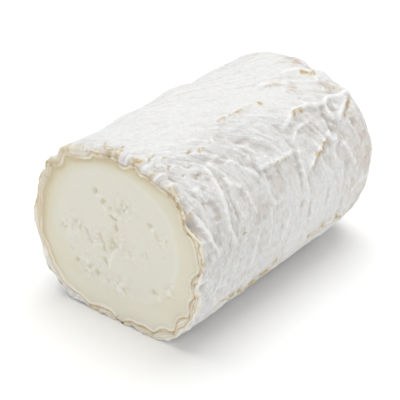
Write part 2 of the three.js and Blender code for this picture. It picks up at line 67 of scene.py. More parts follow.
NODE = "cheese"
BODY = "root"
MM = 0.001
BOX_MARGIN, BOX_SOFTNESS = 0.02, 0.5
# The places stored for the rind's pattern go from 0 to 1 over this many millimetres.
PLACE_RANGE = 220
RAD = math.pi / 180
BELLY = -90  # the angle of the underside

# The section's shape as waves round the log: waves, cosine share, sine share.
SECTION_WAVES = [(2, 0.062, 0.002), (3, -0.006, -0.011), (4, -0.024, 0.010)]

# Broad swellings and hollows: along the log, angle, height, reach along and reach round.
LUMPS = [
    (-1, 112, -1.1, 4, 10), (10, 124, 0.4, 6, 12), (72, 124, -0.7, 8, 14), (87, 124, -0.8, 4, 10),
    (0, 126, 0.35, 8, 7), (0, 88, 0.8, 5, 7), (0.8, 30, -3.3, 2.2, 6.5),
    (0.5, 38.5, -1.2, 1.4, 3.6), (7.5, 20, 0.4, 2, 5), (0, 8, 0.5, 6, 8), (0.6, -6, -1.1, 1.8, 5),
    (0, -26, -0.7, 6, 14), (36.5, 130, -0.9, 6.5, 14), (46.5, 130, 0.35, 5, 12),
    (56.5, 130, -0.5, 4, 12), (83, 128, 0.3, 6, 12), (84, 100, -0.5, 7, 10), (85, 86, 0.5, 5, 4),
    (84, 76, -0.7, 4, 3.5), (84, 67, 0.6, 4, 4), (84, 57, -0.3, 4, 4), (84, 47, 0.8, 4, 4),
    (80, 14, 1.1, 6, 14), (80, -24, -0.8, 6, 8), (30, -40, -0.5, 13, 13), (52, -40, -0.2, 8, 10),
    (79, -42, -1.4, 8, 12), (78, 59, -0.5, 3.4, 6), (59, 38, -0.6, 4, 6), (76.2, 46, 0.2, 1.7, 2.6),
    (47, 22, -0.4, 3, 8), (40, 195, 0.7, 16, 18), (66, 225, -0.6, 12, 14), (14, 210, -0.6, 10, 16),
]

# Folds of the rind: height, fall to the left and to the right of the path, how much bare tan
# rind shows along the crest, and the path as places [along the log, angle].
FOLDS = {
    "long crease": ((1.1, 0.5, 1.6, 0), [
        (16.1, 57.7), (15.9, 52.2), (15.3, 45), (14.6, 39.5), (14, 33.5), (13.5, 25.8),
        (13.4, 18.3), (14.6, 10.9), (16, 5),
    ]),
    "long hollow": ((-0.45, 1.1, 0.8, 0), [
        (18.2, 46), (17.7, 37.9), (17, 29.8), (16.9, 21.6), (17, 14.8),
    ]),
    "crease twin": ((0.55, 0.7, 0.9, 0), [(17.8, 53.5), (17.7, 48.3), (19, 44.4), (20.7, 40)]),
    "crease follower": ((0.55, 0.7, 0.9, 0), [(18.3, 42), (19.5, 37), (22.2, 31.5)]),
    "arc wrinkle": ((0.55, 0.7, 0.9, 0), [(28.2, 52.7), (29.8, 49.5), (30.9, 44.4)]),
    "upper slant": ((0.5, 0.8, 1.1, 0), [(25.1, 49.9), (25.5, 45.2), (27.1, 39.7)]),
    "lower slant": ((0.6, 0.7, 1.1, 0), [(27.3, 42.4), (28.6, 37), (31.2, 31.4)]),
    "shelf": ((1, 4.5, 0.8, 0.5), [
        (30.3, 36.2), (31.6, 35.1), (34.6, 34.8), (37.6, 34), (41.2, 33.6), (44.8, 34),
        (49.2, 35.5),
    ]),
    "shelf drop": ((0.5, 0.8, 0.9, 0), [(33.5, 33.9), (32.8, 27.2), (32.1, 19.4), (34.6, 10.8)]),
    "long drop": ((0.45, 0.8, 0.9, 0.1), [(31.9, 16.8), (31.1, 8), (29.8, -2.9), (28.6, -10.9)]),
    "wedge groove": ((-0.45, 1.4, 1, 0), [(48.5, 35.4), (47.9, 27.6), (47.5, 17.8), (45.6, 10)]),
    "wedge crest": ((0.6, 0.9, 1.2, 0), [(50, 37), (49.4, 30.8), (49, 23.6), (49.9, 15.5)]),
    "side streak": ((1.1, 3.4, 0.8, 1.6), [
        (49.5, 19.6), (53.8, 23.8), (57.2, 26.8), (60.9, 29.8), (64.4, 32.1),
    ]),
    "ridge": ((1, 2.6, 1.3, 0.1), [
        (46.8, 44.6), (51.2, 48.4), (54.7, 51.4), (57.4, 53), (60, 52.6), (63.4, 51.4), (66.4, 49),
        (69.4, 47), (73, 45.6),
    ]),
    "ridge band": ((0.15, 0.6, 0.8, 1.4), [
        (54.4, 50.8), (56.2, 52.3), (58, 52.6), (59.6, 52), (61, 51.2),
    ]),
    "end brow": ((1, 1.4, 1.6, 0.1), [
        (69.4, 47), (72.2, 48.6), (75.2, 48.3), (79.5, 47.2), (83.5, 47),
    ]),
    "facet groove": ((-0.45, 0.6, 0.6, 0.2), [
        (68.4, 48), (67.8, 44), (67.2, 38), (67, 33), (67.6, 28),
    ]),
    "facet foot": ((0.75, 0.9, 1.3, 0), [(64, 34.3), (65.5, 28.9), (67.9, 24)]),
    "left of the vee": ((0.9, 0.8, 0.9, 0), [(71.4, 50), (69.8, 45.3), (69.2, 39.4), (69.6, 35.4)]),
    "vee stripe": ((0.2, 0.5, 0.5, 0), [(74, 48.4), (73, 44), (71.8, 39.6)]),
    "right of the vee": ((1.1, 1.6, 0.9, 0.2), [
        (69.9, 35.4), (72.9, 38.5), (77.1, 42.1), (80.6, 45.5),
    ]),
    "far crest": ((0.7, 0.9, 1.1, 0), [(69.3, 26.7), (70.2, 20.4), (71.5, 13.3), (73.3, 6.3)]),
    "far fall": ((0.5, 0.8, 1, 0), [(68.7, 31.1), (64.3, 23.3), (63.7, 14.7)]),
    "arch": ((0.5, 0.9, 1, 0), [(47.6, 36), (51, 40.6), (54.4, 43.6), (57.8, 44.4), (60.6, 43)]),
    "top streak": ((0.4, 2.5, 0.9, 0.8), [
        (31, 72.1), (34.5, 72.1), (37.6, 71.3), (40.2, 69.8), (42.9, 69.3), (46.4, 70.5),
        (51.4, 69.3),
    ]),
    "far top fold": ((0.7, 1.6, 1.2, 0.2), [
        (57.6, 81.2), (60.2, 79.5), (62.4, 75.5), (65.4, 72.3), (67.8, 69.9), (69.8, 69.2),
    ]),
    "far top edge": ((0.5, 1.6, 1.4, 0.2), [
        (79.4, 67.5), (77.6, 64.2), (76.6, 57.6), (74.4, 51.7),
    ]),
    "pocket rim": ((0.9, 0.6, 0.8, 0), [
        (1.2, 40), (2.2, 36.8), (2.8, 33.5), (3.3, 30), (3.5, 25.2), (3.9, 19.2), (5.3, 15),
        (7, 11), (8.6, 7),
    ]),
    "first side fold": ((0.45, 0.7, 0.9, 0), [(18.5, 29.3), (18.2, 23.2), (20.3, 15.5)]),
    "second side fold": ((0.5, 0.7, 0.9, 0), [(22.2, 31.5), (23.8, 23.2), (26.1, 14.3)]),
    "third side fold": ((0.3, 0.7, 0.9, 0), [(17.6, 34.3), (17.1, 27.7), (17.6, 22.1)]),
    "upper valley": ((-0.4, 1.2, 1.5, 0), [
        (26.2, 63.6), (27.5, 59.2), (30.4, 55.1), (34.3, 52.9), (39.1, 51.6),
    ]),
    "valley ridge": ((0.25, 1.6, 1.2, 0), [
        (27.9, 52.3), (34.3, 49.5), (39.8, 48.3), (43.6, 46.4), (45.6, 41.3),
    ]),
    "far seam": ((0.6, 1.6, 0.8, 0.85), [
        (75, -26), (70, -23.6), (66, -22), (61, -20.4), (56, -22.6), (51, -22), (46, -20.5),
    ]),
    "middle seam": ((0.5, 1.6, 0.8, 0.6), [(40, -21.3), (35.8, -22.6), (32.1, -24.5)]),
    "near seam": ((0.5, 1.6, 0.8, 0.9), [
        (39.5, -23), (37, -25.5), (33, -27), (28, -31), (22.8, -31.4), (15, -26), (9, -26),
    ]),
    "first low fold": ((0.35, 0.8, 0.8, 0), [(5.4, 13.1), (2.9, 4.7), (2.7, -7.7)]),
    "second low fold": ((0.3, 0.8, 0.8, 0), [(11.7, 12.3), (10.1, 6.6), (8.1, -1.6)]),
    "third low fold": ((0.4, 0.8, 0.8, 0), [(26.5, 9.5), (24.3, -2.2), (22, -13.8)]),
    "fourth low fold": ((0.35, 0.8, 0.8, 0.1), [(39.9, 9.5), (37.2, -3.1), (33.9, -13.5)]),
    "low end ridge": ((0.6, 1.2, 1.6, 0.2), [(69.4, -8.1), (72.8, -4.7), (76.7, -3.1), (83.3, -4)]),
    "far top crest": ((0.8, 1.2, 0.9, 0), [
        (69, 82), (72.4, 80.6), (75.4, 77.6), (77.6, 73.8), (80.4, 70),
    ]),
    "far top line": ((-0.35, 0.7, 0.7, 1.4), [(76, 76.4), (77.2, 73.6), (78.6, 70.8), (80.4, 68)]),
    "far top dip": ((-0.35, 1.2, 1.2, 0.2), [(62.8, 66.8), (64, 60.4), (64.6, 55.2)]),
    "vee line": ((-0.2, 0.5, 0.5, 0.3), [(73.2, 48.5), (72, 43.5), (71, 39)]),
    "edge line": ((-0.3, 0.7, 0.7, 0.9), [
        (83.2, 46), (81, 42.4), (78.4, 39.6), (75.6, 37), (72.4, 33.4),
    ]),
    "top wiggle": ((-0.2, 0.5, 0.5, 0.9), [
        (0, 100.5), (1.4, 101.2), (3, 103.5), (4.8, 106), (7, 105.4),
    ]),
    "second wiggle": ((-0.2, 0.5, 0.5, 0.9), [(0.5, 91), (2.4, 93.4), (4.4, 94.4), (7.4, 94.6)]),
}

# The side that is turned away has folds of the same kinds, laid by a rule.
BACK_COUNT = 16
BACK_SEED = 11
BACK_RANGE = (4, 82)
BACK_ANGLES = (138, 246)
BACK_HEIGHT = 0.75

# Fine relief: width of one wrinkle, its length, slant, height and seed.
SWELLS = (15, 17, 0, 0.7, 3)
WRINKLES = (4.6, 13, 0, 0.8, 5)
CRINKLES = (2.2, 8, 0, 0.62, 6)
STREAKS = (1.1, 5, 0, 0.24, 13)
CRUMPLE = (3.4, 4.2, 0.2, 0.8, 7)
CREPE = (1.5, 2.2, 0.3, 0.3, 9)
MOTTLE_PITCH, MOTTLE_HEIGHT = 2.6, 0.28
GRAIN = (0.95, 1, 0, 0.12, 10)
CRUMPLE_REACH = 9
# Wrinkles and crinkles are lower between these angles, down the side and up to the top.
LOW_SIDE, LOW_WRINKLES, LOW_CRINKLES = (16, -6), 0.65, 0.4
HIGH_SIDE, HIGH_CRINKLES = (28, 46), 0.4
# The crinkles come and go over places of this size.
PATCHY_PITCH = 9
# Round the belly's flat the relief dies away between these angles from it.
BELLY_FADE = (12, 34)
# The smooth top: the angle where it starts, how far that drops and where along the log, how soft
# its start is, where it ends round the log and along it, and how much smoother it is.
TOP_FROM, TOP_DROP, TOP_DROP_PLACE = 54, 14, (34, 54)
TOP_SOFTNESS, TOP_END, TOP_LAST = 28, (150, 128), (92, 80)
TOP_CALM = 0.64
# A fold rises over this share of its length. Bare rind shows in a line of these widths on the
# two sides of its crest, and the painted highlight on its crest lies this far off its line and is
# this wide.
FOLD_ENDS = 0.22
BARE_WIDTHS, BARE_PITCH = (0.4, 1.5), 1.8
WHITE_AWAY, WHITE_WIDTH = 0.3, 0.7
# How far the places of patches and dents are moved, so that they get an uneven outline.
RAGGED_PITCH, RAGGED_ALONG, RAGGED_ROUND = 1.5, 1.1, 2.1
# The wrinkles go up the right side. From it they slant towards the cut, over the top and down to
# the belly; the slant down is most near the cut.
BEND, BEND_ANGLE = 55, 22
LOW_ANGLE, LOW_REACH = 12, 60
LOW_SLANT, LEAST_SLANT, SLANT_FALL = 1.15, 0.2, 0.026
WANDER_PITCH, WANDER_AMOUNT, WANDER_SEED = 6, 0.5, 21

# Patches where the white mould is thin and tan rind shows: along, angle, reach along, reach
# round, strength.
TAN_PATCHES = [
    (19.2, 60.8, 1.3, 2.2, 0.9), (15.8, 63.2, 1, 1.6, 0.85), (6, 73.6, 1.2, 2, 0.9),
    (9, 67.6, 0.9, 1.4, 0.8), (6.6, 62.8, 0.8, 1.4, 0.8), (11.8, 55.2, 1, 1.5, 0.8),
    (11.8, 49.2, 1, 1.5, 0.8), (14, 45.6, 0.9, 1.4, 0.6), (7.4, 35.6, 1, 1.6, 0.8),
    (7.7, 53.2, 0.8, 1.4, 0.5), (1.6, 76, 2, 3.6, 1), (2, 97, 2.4, 6, 0.8), (1.6, 89, 1.6, 3, 0.8),
    (1.4, 129, 1.6, 4, 0.7), (1.4, 144, 1.6, 4, 0.6), (1.4, 156, 1.6, 4, 0.8),
    (0.4, 50, 1.2, 4, 0.8), (0.4, 69.6, 1.3, 3, 0.8), (1, 62, 1.5, 4, 0.6), (-0.3, 46.9, 1, 3, 0.7),
    (2.6, 34.7, 1.6, 5, 0.7), (57, 51.8, 2, 1.1, 0.9), (56.4, 25, 1.6, 1.2, 1),
    (60.2, 28.2, 1.6, 1.2, 1), (51.3, 68.1, 1.3, 1.3, 1), (31.3, 70.4, 1.2, 1, 0.5),
    (64.6, 47.5, 1.6, 2, 0.35), (59, 76.4, 2.6, 1.3, 0.4), (62.2, 74, 2.6, 1.8, 0.5),
    (66.4, 70.8, 2.4, 1.8, 0.5), (67.9, 62.4, 1.6, 3, 0.4), (79.2, 69.4, 1.7, 3, 1),
    (79.5, 57, 0.9, 2, 0.9), (79.8, 52.4, 0.9, 1.6, 0.9), (80.4, 49, 1, 1.4, 0.8),
    (74.8, 51.7, 1.2, 1.4, 0.6), (68.4, 46.1, 1.2, 1.6, 0.35), (78, 83.4, 4, 5, 0.4),
    (79, 114.6, 2.6, 1.6, 0.6), (75, 16, 10, 20, 0.32), (74, -8, 9, 12, 0.32),
    (52.9, 48.6, 1.2, 1.2, 0.4), (50.2, 45.4, 1, 1.6, 0.3), (78.6, 43, 2.5, 1.5, 0.6),
    (77.2, 32.5, 1.6, 2.4, 0.6), (75.4, 36.8, 3.4, 1.2, 0.8), (80.1, 42.1, 2.4, 1.4, 0.7),
    (82, -12, 2.5, 5, 0.4), (80.1, -24, 4, 3, 0.4), (66, -22.4, 6, 1.3, 0.9),
    (50, -22, 6, 1.8, 0.5), (37, -26, 5, 1.8, 0.8), (29, -31, 4, 2.2, 0.6), (22, -31, 5, 2.2, 0.8),
    (14, -27, 5, 2.4, 0.9), (76.5, 18.4, 1.4, 2.2, 0.5), (74.3, 12.7, 1.2, 2, 0.45),
    (62.6, 22.8, 1.2, 3, 0.35), (46, 5, 1, 2, 0.5), (41.9, 52, 2, 1.4, 0.4),
    (35.6, 34.6, 0.8, 0.8, 0.8), (38.4, 33.8, 0.9, 0.7, 0.9), (41.8, 34, 0.8, 0.7, 0.8),
    (45.4, 34.2, 0.6, 0.7, 0.6), (29.6, 18, 1.1, 1.6, 0.45), (17.2, 8.4, 0.8, 1, 0.8),
    (19.2, 11, 0.7, 1, 0.8), (25.9, 10.9, 0.9, 1, 0.4), (52.6, -5.6, 1.4, 1.6, 0.35),
    (9.8, 26.4, 1.1, 1.8, 0.35),
]

# Patches of thin greyish brown mould; a few are painted shade in hollows, such as the pocket by
# the cut: along, angle, reach along, reach round, strength.
THIN_MOULD_AND_SHADE_PATCHES = [
    (77.4, 57, 2, 7, 1), (80.4, 86, 2, 7, 1), (76.5, 89, 2, 3, 0.5), (65.2, 47.8, 1.6, 2.4, 0.45),
    (68, 45.5, 1.4, 2, 0.6), (77.6, 52.9, 2.6, 3, 0.9), (81.6, 85.5, 5, 6, 0.55),
    (68.1, 39.5, 0.9, 9, 0.6), (65.4, 64, 1.8, 6, 0.6), (58.6, 76.6, 3, 1.6, 0.6),
    (62.6, 73.6, 3.4, 2.4, 0.7), (67.2, 68.4, 3, 3.4, 0.65), (75, 16, 10, 20, 0.3),
    (74, -8, 9, 12, 0.28), (83.4, 20.5, 5, 24, 0.5), (82.2, -14.3, 6, 10, 0.5),
    (58.2, 42, 5, 4, 0.45), (1.6, 29, 2, 9, 1), (4, 14, 1.4, 7, 0.4), (9.6, 25.6, 1.2, 2.4, 0.6),
    (38, 24, 4, 9, 0.5), (43.4, 26, 2.4, 6, 0.45), (29, 16, 3, 6, 0.5), (21.8, 30.1, 2.4, 7, 0.45),
    (25.7, 14.2, 2, 6, 0.5), (59.3, 36.9, 4, 6, 0.4), (68.6, 36.1, 2, 6, 0.45),
    (78.8, 24.5, 5, 9, 0.6), (80, 7.2, 5, 12, 0.7), (80.4, -16.7, 5, 9, 0.6),
    (76.7, -27.4, 5, 6, 0.6), (59.5, -25.1, 12, 4, 0.5), (30.4, -29.6, 10, 4, 0.5),
    (16.2, 19.9, 1.6, 9, 0.4), (4, 60, 3, 9, 0.4), (5.5, 20.4, 4, 14, 0.25),
    (84.8, 101.3, 5, 10, 0.4), (83.7, 129.4, 5, 12, 0.5), (84, 170, 6, 16, 0.5),
    (39.8, 169.8, 14, 12, 0.3),
]

# Small dents of the rind that gather shade: along, angle, depth, reach along, reach round.
DENTS = [
    (7.4, 35.8, 0.4, 0.8, 1.6), (11.8, 49.2, 0.8, 0.9, 1.6), (14, 45.6, 0.6, 0.8, 1.4),
    (11.8, 55.2, 0.5, 1, 1.6), (15.8, 63.2, 0.5, 1, 1.4), (7.7, 53.2, 0.6, 0.7, 1.4),
    (9, 67.6, 0.6, 0.8, 1.2), (6.6, 62.8, 0.6, 0.6, 1), (6, 73.6, 0.6, 1, 1.6),
    (-0.1, 76.5, 1, 0.6, 0.9), (0.4, 69.6, 1, 0.7, 1), (9.6, 25.8, 0.25, 1, 2.4),
    (3.2, 54.9, 0.7, 1, 1.6), (3.4, 66, 0.6, 0.8, 1.4), (24.7, 62.4, 0.5, 0.8, 1),
    (26.9, 62.2, 0.5, 0.9, 1.4), (31, 46, 0.5, 1.8, 2.4), (23, 50, 0.5, 1.6, 2),
    (77.2, 31.1, 0.6, 1.4, 2.6), (77, 18.8, 0.6, 1.4, 3), (45.6, 4.6, 0.4, 0.8, 2.4),
    (3, -6.6, 0.6, 1, 3),
]

# Where the cut edge lifts off what it rests on: angle, reach round, height.
LIFTS = [(-76.5, 4.2, 1.7), (-89.5, 3, 0.7), (-100.5, 3, 1.1), (-106.5, 1.6, 0.7)]
LIFT_REACH = 1.6
# Small bumps and notches of the cut edge: angle, reach round, how far out.
EDGE_BUMPS = [
    (159, 4, 0.3), (152.5, 1.6, -0.4), (148, 3.6, 0.6), (138.8, 2.2, -1), (132, 4, 0.2),
    (120, 4, 0.2), (-104, 3, 0.3), (-127.5, 1.6, 0.3), (-130.5, 1.6, -0.5), (-135, 2.4, 0.6),
    (-139.5, 1.7, -0.4), (-146, 3.6, 0.5), (-153, 3, -0.2),
]
EDGE_REACH = 2.2
RUFFLE_PITCH, SMALL_RUFFLE_PITCH, SMALL_RUFFLE = 1.9, 0.9, 0.6

# The inner lip of the cut rind: angle and distance from the edge.
LIP = [
    (180, 2.2), (175, 1.9), (170, 1.5), (164, 1.3), (159, 1.7), (155, 2.3), (151, 1.9), (148, 1.3),
    (144, 2.2), (140.5, 3.1), (137, 2.9), (133, 1.7), (128.5, 2.1), (125, 3.3), (120, 3.5),
    (115, 3.7), (111, 3.2), (108.5, 2.1), (105, 1.7), (101, 1.7), (98.5, 2.3), (95, 2), (91.5, 1.5),
    (89, 2.6), (86, 3.1), (82, 3), (79.5, 2.2), (78, 1.4), (75, 1.4), (72.5, 2), (70, 2.8),
    (67, 2.5), (64, 2.5), (61, 2.6), (58, 2.6), (54, 2.4), (51, 2), (48, 1.9), (45.5, 1.9),
    (43, 2.5), (40, 2.3), (38, 2.8), (35, 3.7), (31, 4.4), (27, 4.4), (24.5, 3.2), (21, 2.4),
    (15, 2.2), (11, 2.2), (6, 1.8), (2, 2), (0, 3.3), (-3, 4.3), (-6.5, 4.6), (-9.5, 4.2),
    (-12.5, 3.4), (-14.5, 2.8), (-17, 3.3), (-20.5, 3.8), (-24, 3), (-26.5, 2), (-29, 2),
    (-31.5, 3.2), (-35, 4), (-38, 3.9), (-41, 3), (-44, 1.9), (-47, 1.7), (-50, 2.9), (-54, 3.4),
    (-57.5, 2.7), (-60, 1.9), (-62.5, 2.2), (-66, 3.3), (-70, 3.4), (-73, 3), (-77, 3.6),
    (-80, 3.1), (-83.5, 2.3), (-86, 1.5), (-89, 1.6), (-92, 2.6), (-96, 3.3), (-102, 3),
    (-107, 2.7), (-110.5, 2.2), (-112.5, 1.4), (-116, 1.9), (-122, 2.4), (-127, 1.8), (-130, 1.6),
    (-133, 1.3), (-136, 1.6), (-140, 2.2), (-145, 2), (-150, 2.6), (-155, 3), (-160, 2.6),
    (-165, 1.8), (-170, 1.9), (-175, 2.2),
]
LIP_WIDTH = 0.26
LIP_SOFTNESS = 0.8  # degrees over which the lip's corners are rounded
LEAST_LIP = 1.15
RIM_PLACE = 0.8  # along the log, where the edge takes its height from the folds
TAN_LINE, TAN_LINE_WIDTH = 0.58, 0.2  # the thin tan line outside the lip
STRANDS = [(0.2, 0.4), (0.42, 0.4), (0.62, 0.3)]  # share of the way to the lip, and height
SKIN_LINE = 0.8  # from the lip out to where the white mould ends
# Round the top the mould comes right over the edge, on a soft shoulder.
TOP_ANGLE, TOP_REACH = 82, 52
# Between these angles the cut rind shows strands that follow its lip.
STRAND_RANGE = (-114, 41)
# On this side the cut rind is all tan and cream, and lies flush with the paste.
FLUSH_ANGLE, FLUSH_REACH = 160, 50

# Dark gaps between the strands of the cut rind: angle, distance from the edge, half of the
# width in degrees, half of the width across, depth.
GAPS = [
    (33, 0.5, 2.6, 0.35, 1), (-6, 1.4, 2.2, 0.4, 1.2), (78, 0.8, 0.8, 0.35, 0.4),
    (70.2, 0.4, 0.6, 0.4, 0.8), (57, 0.8, 1, 0.4, 0.6), (-20, 1.6, 1.8, 0.35, 0.5),
    (-32, 1, 1.2, 0.3, 0.5), (-36, 1.5, 1.6, 0.3, 0.4), (-51, 0.4, 1.6, 0.35, 0.9),
    (-56, 0.9, 1.6, 0.3, 0.5), (-66, 1.5, 1.6, 0.3, 0.5), (-71, 0.6, 1.2, 0.3, 0.7),
    (-106.3, 0.9, 0.7, 0.3, 0.8), (-122, 1.7, 2.4, 0.25, 0.3),
]
# Tan spots of the cut rind: angle, distance from the edge, half of the width in degrees, half
# of the width across, strength.
RIM_SPOTS = [
    (148, 0.4, 3.4, 1, 1), (158, 0.8, 2.6, 0.6, 0.7), (143, 0.5, 2, 0.6, 0.6),
    (138, 2.1, 1.2, 0.35, 0.7), (127, 0.8, 1.6, 0.5, 0.8), (116, 0.2, 1, 0.3, 0.8),
    (112.5, 0.8, 1.2, 0.35, 0.6), (120, 0.5, 1.4, 0.3, 0.5), (105, 0.9, 3, 0.6, 0.8),
    (100, 1, 1.6, 0.4, 0.9), (94, 0.4, 3.4, 0.8, 0.55), (76, 0.3, 2.4, 1, 0.9),
    (48, 0.8, 5, 1.2, 1), (40, 0.5, 4.5, 0.8, 1), (34, 0.4, 3, 0.6, 0.8), (26, 1.1, 5, 0.35, 1),
    (17, 0.6, 6, 0.35, 1), (8, 0.45, 6, 0.35, 1), (1, 0.9, 4, 0.35, 0.9),
    (-12, 0.4, 2.4, 0.25, 0.8), (-13.5, 2, 1.8, 0.7, 1), (-20, 0.5, 5, 0.18, 0.7),
    (-27.5, 1.6, 2, 0.7, 0.8), (-34, 0.4, 4, 0.18, 0.6), (-45.5, 1.3, 2.4, 0.5, 0.8),
    (-62, 1.6, 1.8, 0.8, 0.8), (-86, 1, 2, 0.8, 0.9), (-112, 0.8, 1.7, 0.9, 1),
    (-122, 1.7, 3.4, 0.3, 0.7), (-127.5, 0.2, 1.4, 0.6, 0.9), (-135, 0.6, 2.2, 1, 1),
    (-144.5, 0.6, 2.4, 0.9, 0.8), (-148, 0.3, 2, 0.5, 0.7), (-165, 0.8, 5, 0.5, 0.6),
    (-178, 0.6, 4, 0.5, 0.6),
]

# The paste's holes: x and height from the middle, across, depth and how tan they are inside.
HOLES = [
    (-7.6, 13.9, 1.6, 0.7, 0.9), (-4.7, 11.4, 1.4, 0.6, 0.8), (-2.7, 9.9, 1.3, 0.5, 0.7),
    (12, 10, 1.6, 0.6, 0.8), (-19.2, -2.2, 1.2, 0.5, 1), (-20.7, -1.6, 1.2, 0.4, 0.5),
    (-16.4, -0.9, 1.4, 0.4, 0.6), (-13.7, 0.9, 1.4, 0.5, 0.6), (-7.6, -13.2, 1.5, 0.6, 0.9),
    (-3.4, -13.9, 1.3, 0.4, 0.8), (2.8, -15.6, 1.2, 0.4, 0.7), (13.7, -11, 2, 0.9, 0.8),
    (0.8, 9.6, 1.3, 0.4, 0.5), (2.3, 12.4, 1.2, 0.4, 0.5), (4.3, 12.2, 1.2, 0.4, 0.5),
    (17.9, 6.5, 1.2, 0.4, 0.4), (17.2, 1.4, 1.2, 0.3, 0.3), (-17, -8.4, 1.3, 0.4, 0.5),
    (-10, -11.4, 1.2, 0.4, 0.6),
]
# Cracks and ridges: width, depth (a ridge has less than none), how tan, line of places.
CRACKS = [
    (1.1, 0.45, 0.7, [(-1.9, 8), (0.1, 6.2)]), (1, 0.45, 0.7, [(-1, 5.5), (0.4, 3.7)]),
    (1, 0.45, 0.9, [(-4.9, -6.4), (-3.4, -8.6)]), (1, 0.4, 0.9, [(-15.8, -10.7), (-13.9, -11.9)]),
    (1, 0.5, 0.6, [(-7.2, 1.7), (-5.7, -1.5), (-4.7, -3.7), (-3.7, -5.5)]),
    (0.9, 0.4, 0.5, [(-12.3, 0.9), (-10.6, -0.7), (-9.1, -3.9)]),
    (0.9, 0.35, 0.4, [(13.6, 8.3), (16, 5.4)]), (0.9, 0.25, 0.3, [(10.7, 0.8), (11.3, -1.5)]),
    (1.6, 0.4, 0.7, [(-2.6, 0.6), (-1, -1.8), (-2.2, -3.8)]),
    (1.2, -0.28, 0, [(2.7, 1.3), (0.6, -2.1), (-1.7, -4.2), (-2.5, -7.5), (-3.3, -11.2)]),
    (0.8, -0.25, 0, [(-6.9, -2), (-9.1, -2.2)]),
]
# Crumbs that stand out pale: x and height from the middle, across, height.
PALE_CRUMBS = [
    (-6.4, 12.6, 1.5, 0.4), (-4.1, 9.9, 1.2, 0.3), (-1.4, 10.6, 1, 0.25), (-0.6, 8.8, 1.3, 0.35),
    (13.4, 9, 1.3, 0.4), (-14.5, -1.5, 1.4, 0.35), (-7.2, -0.7, 1.3, 0.3), (-8.8, -2.3, 1.2, 0.3),
    (-1.9, -14.6, 1.5, 0.4), (0.8, -14.9, 1.8, 0.5), (4.9, -15.6, 1.2, 0.3),
    (15.3, -12.2, 1.4, 0.4), (18.7, -9.9, 1.2, 0.35), (20.1, -6.1, 1.1, 0.35), (17.9, 7.8, 1, 0.25),
    (4.1, 13.9, 1, 0.3), (5.9, 13, 1, 0.25), (-17.7, -3.3, 1.3, 0.3), (-4.9, -14.7, 1.2, 0.3),
    (-6.3, -11, 1.1, 0.25),
]
# Crumbly places of the paste: x, z above the middle, reach and roughness.
CRUMBS = [
    (3, 11.8, 3.6, 0.6), (-0.5, 0, 3.6, 0.5), (-15.2, -0.4, 4.2, 0.5), (-10.2, -12.5, 4.6, 0.5),
    (1, -15, 4.4, 0.55), (18.8, -9, 3, 0.5), (3.2, -1.4, 3.4, 0.4), (8, -1.7, 3.4, 0.3),
    (16, 5.4, 3, 0.3), (-8.5, -1, 3.4, 0.4),
]
# The paste's firmer core: its middle, its reach sideways and upwards, how soft its edge is.
CORE = (-0.4, 2, 22.2, 19.8, 0.13)

# The faces of the rind and the paste are closer together round this angle, by this share.
DENSE_ANGLE, DENSE_SHARE = 40, 0.4

# The camera, in millimetres from the middle of the cut face, and the way it looks.
CAMERA_PLACE = (227.2, -244.2, 205.6)
CAMERA_AIM = (-1.31, 38.86, -4.38)
CAMERA_LENS = 125.86
SENSOR = 36


def draw(i, j, seed):
    """A repeatable draw from 0 to 1 for each whole-number place."""

    def scaled(values, factor):
        return (np.asarray(values, np.int64) & 0xFFFFFFFF).astype(np.uint32) * np.uint32(factor)

    h = scaled(i, 374761393) ^ scaled(j, 668265263) ^ scaled([seed], 974634777)
    h = (h ^ (h >> np.uint32(13))) * np.uint32(1274126177)
    h = (h ^ (h >> np.uint32(15))) * np.uint32(668265263)
    return (h ^ (h >> np.uint32(16))) / 4294967296


def smooth(t):
    return t * t * t * (t * (6 * t - 15) + 10)


def ramp(start, end, value):
    """From 0 at start to 1 at end, with soft ends."""
    return smooth(np.clip((value - start) / (end - start), 0, 1))


def bell(value, power=2):
    """1 where the value is zero, falling away to 0 on both sides."""
    return np.exp(-(value**power))


def patch_distance(u, v, y, a, reach, reach_round):
    """How far a place is from the middle of a patch, squared, with 1 at the patch's reach."""
    return ((u - y) / reach) ** 2 + ((v - a) / reach_round) ** 2


def field(u, v, seed):
    """A smooth random field from -1 to 1, with about one bump for each unit."""
    u, v = np.broadcast_arrays(np.asarray(u, float), np.asarray(v, float))
    i, j = np.floor(u).astype(np.int64), np.floor(v).astype(np.int64)
    s, t = smooth(u - i), smooth(v - j)
    low = draw(i, j, seed) * (1 - s) + draw(i + 1, j, seed) * s
    high = draw(i, j + 1, seed) * (1 - s) + draw(i + 1, j + 1, seed) * s
    return 2 * (low * (1 - t) + high * t) - 1


def crests(kind, along, arc):
    """Wrinkles as long crests: the lines where the field is zero become ridges."""
    width, length, slant, height, seed = kind
    across = (along + slant * arc) / width
    return height * (0.5 - np.abs(field(across, arc / length, seed)))


def crease(away):
    """The shape across a fold: 1 on its line, which is sharp, falling away on both sides."""
    return np.exp(0.25 - np.sqrt(0.0625 + 2.2 * away**2))


def path_distance(points, x, y):
    """Distance to a line of points, the side it lies on, and how far along it from 0 to 1."""
    nearest = np.full(x.shape, np.inf)
    side = np.zeros(x.shape)
    place = np.zeros(x.shape)
    travelled = 0
    for (ax, ay), (bx, by) in zip(points, points[1:]):
        dx, dy = bx - ax, by - ay
        length = math.hypot(dx, dy)
        t = np.clip(((x - ax) * dx + (y - ay) * dy) / length**2, 0, 1)
        away = np.hypot(x - ax - t * dx, y - ay - t * dy)
        closer = away < nearest
        nearest = np.where(closer, away, nearest)
        side = np.where(closer, dx * (y - ay) - dy * (x - ax), side)
        place = np.where(closer, travelled + t * length, place)
        travelled += length
    return nearest, side, place / travelled


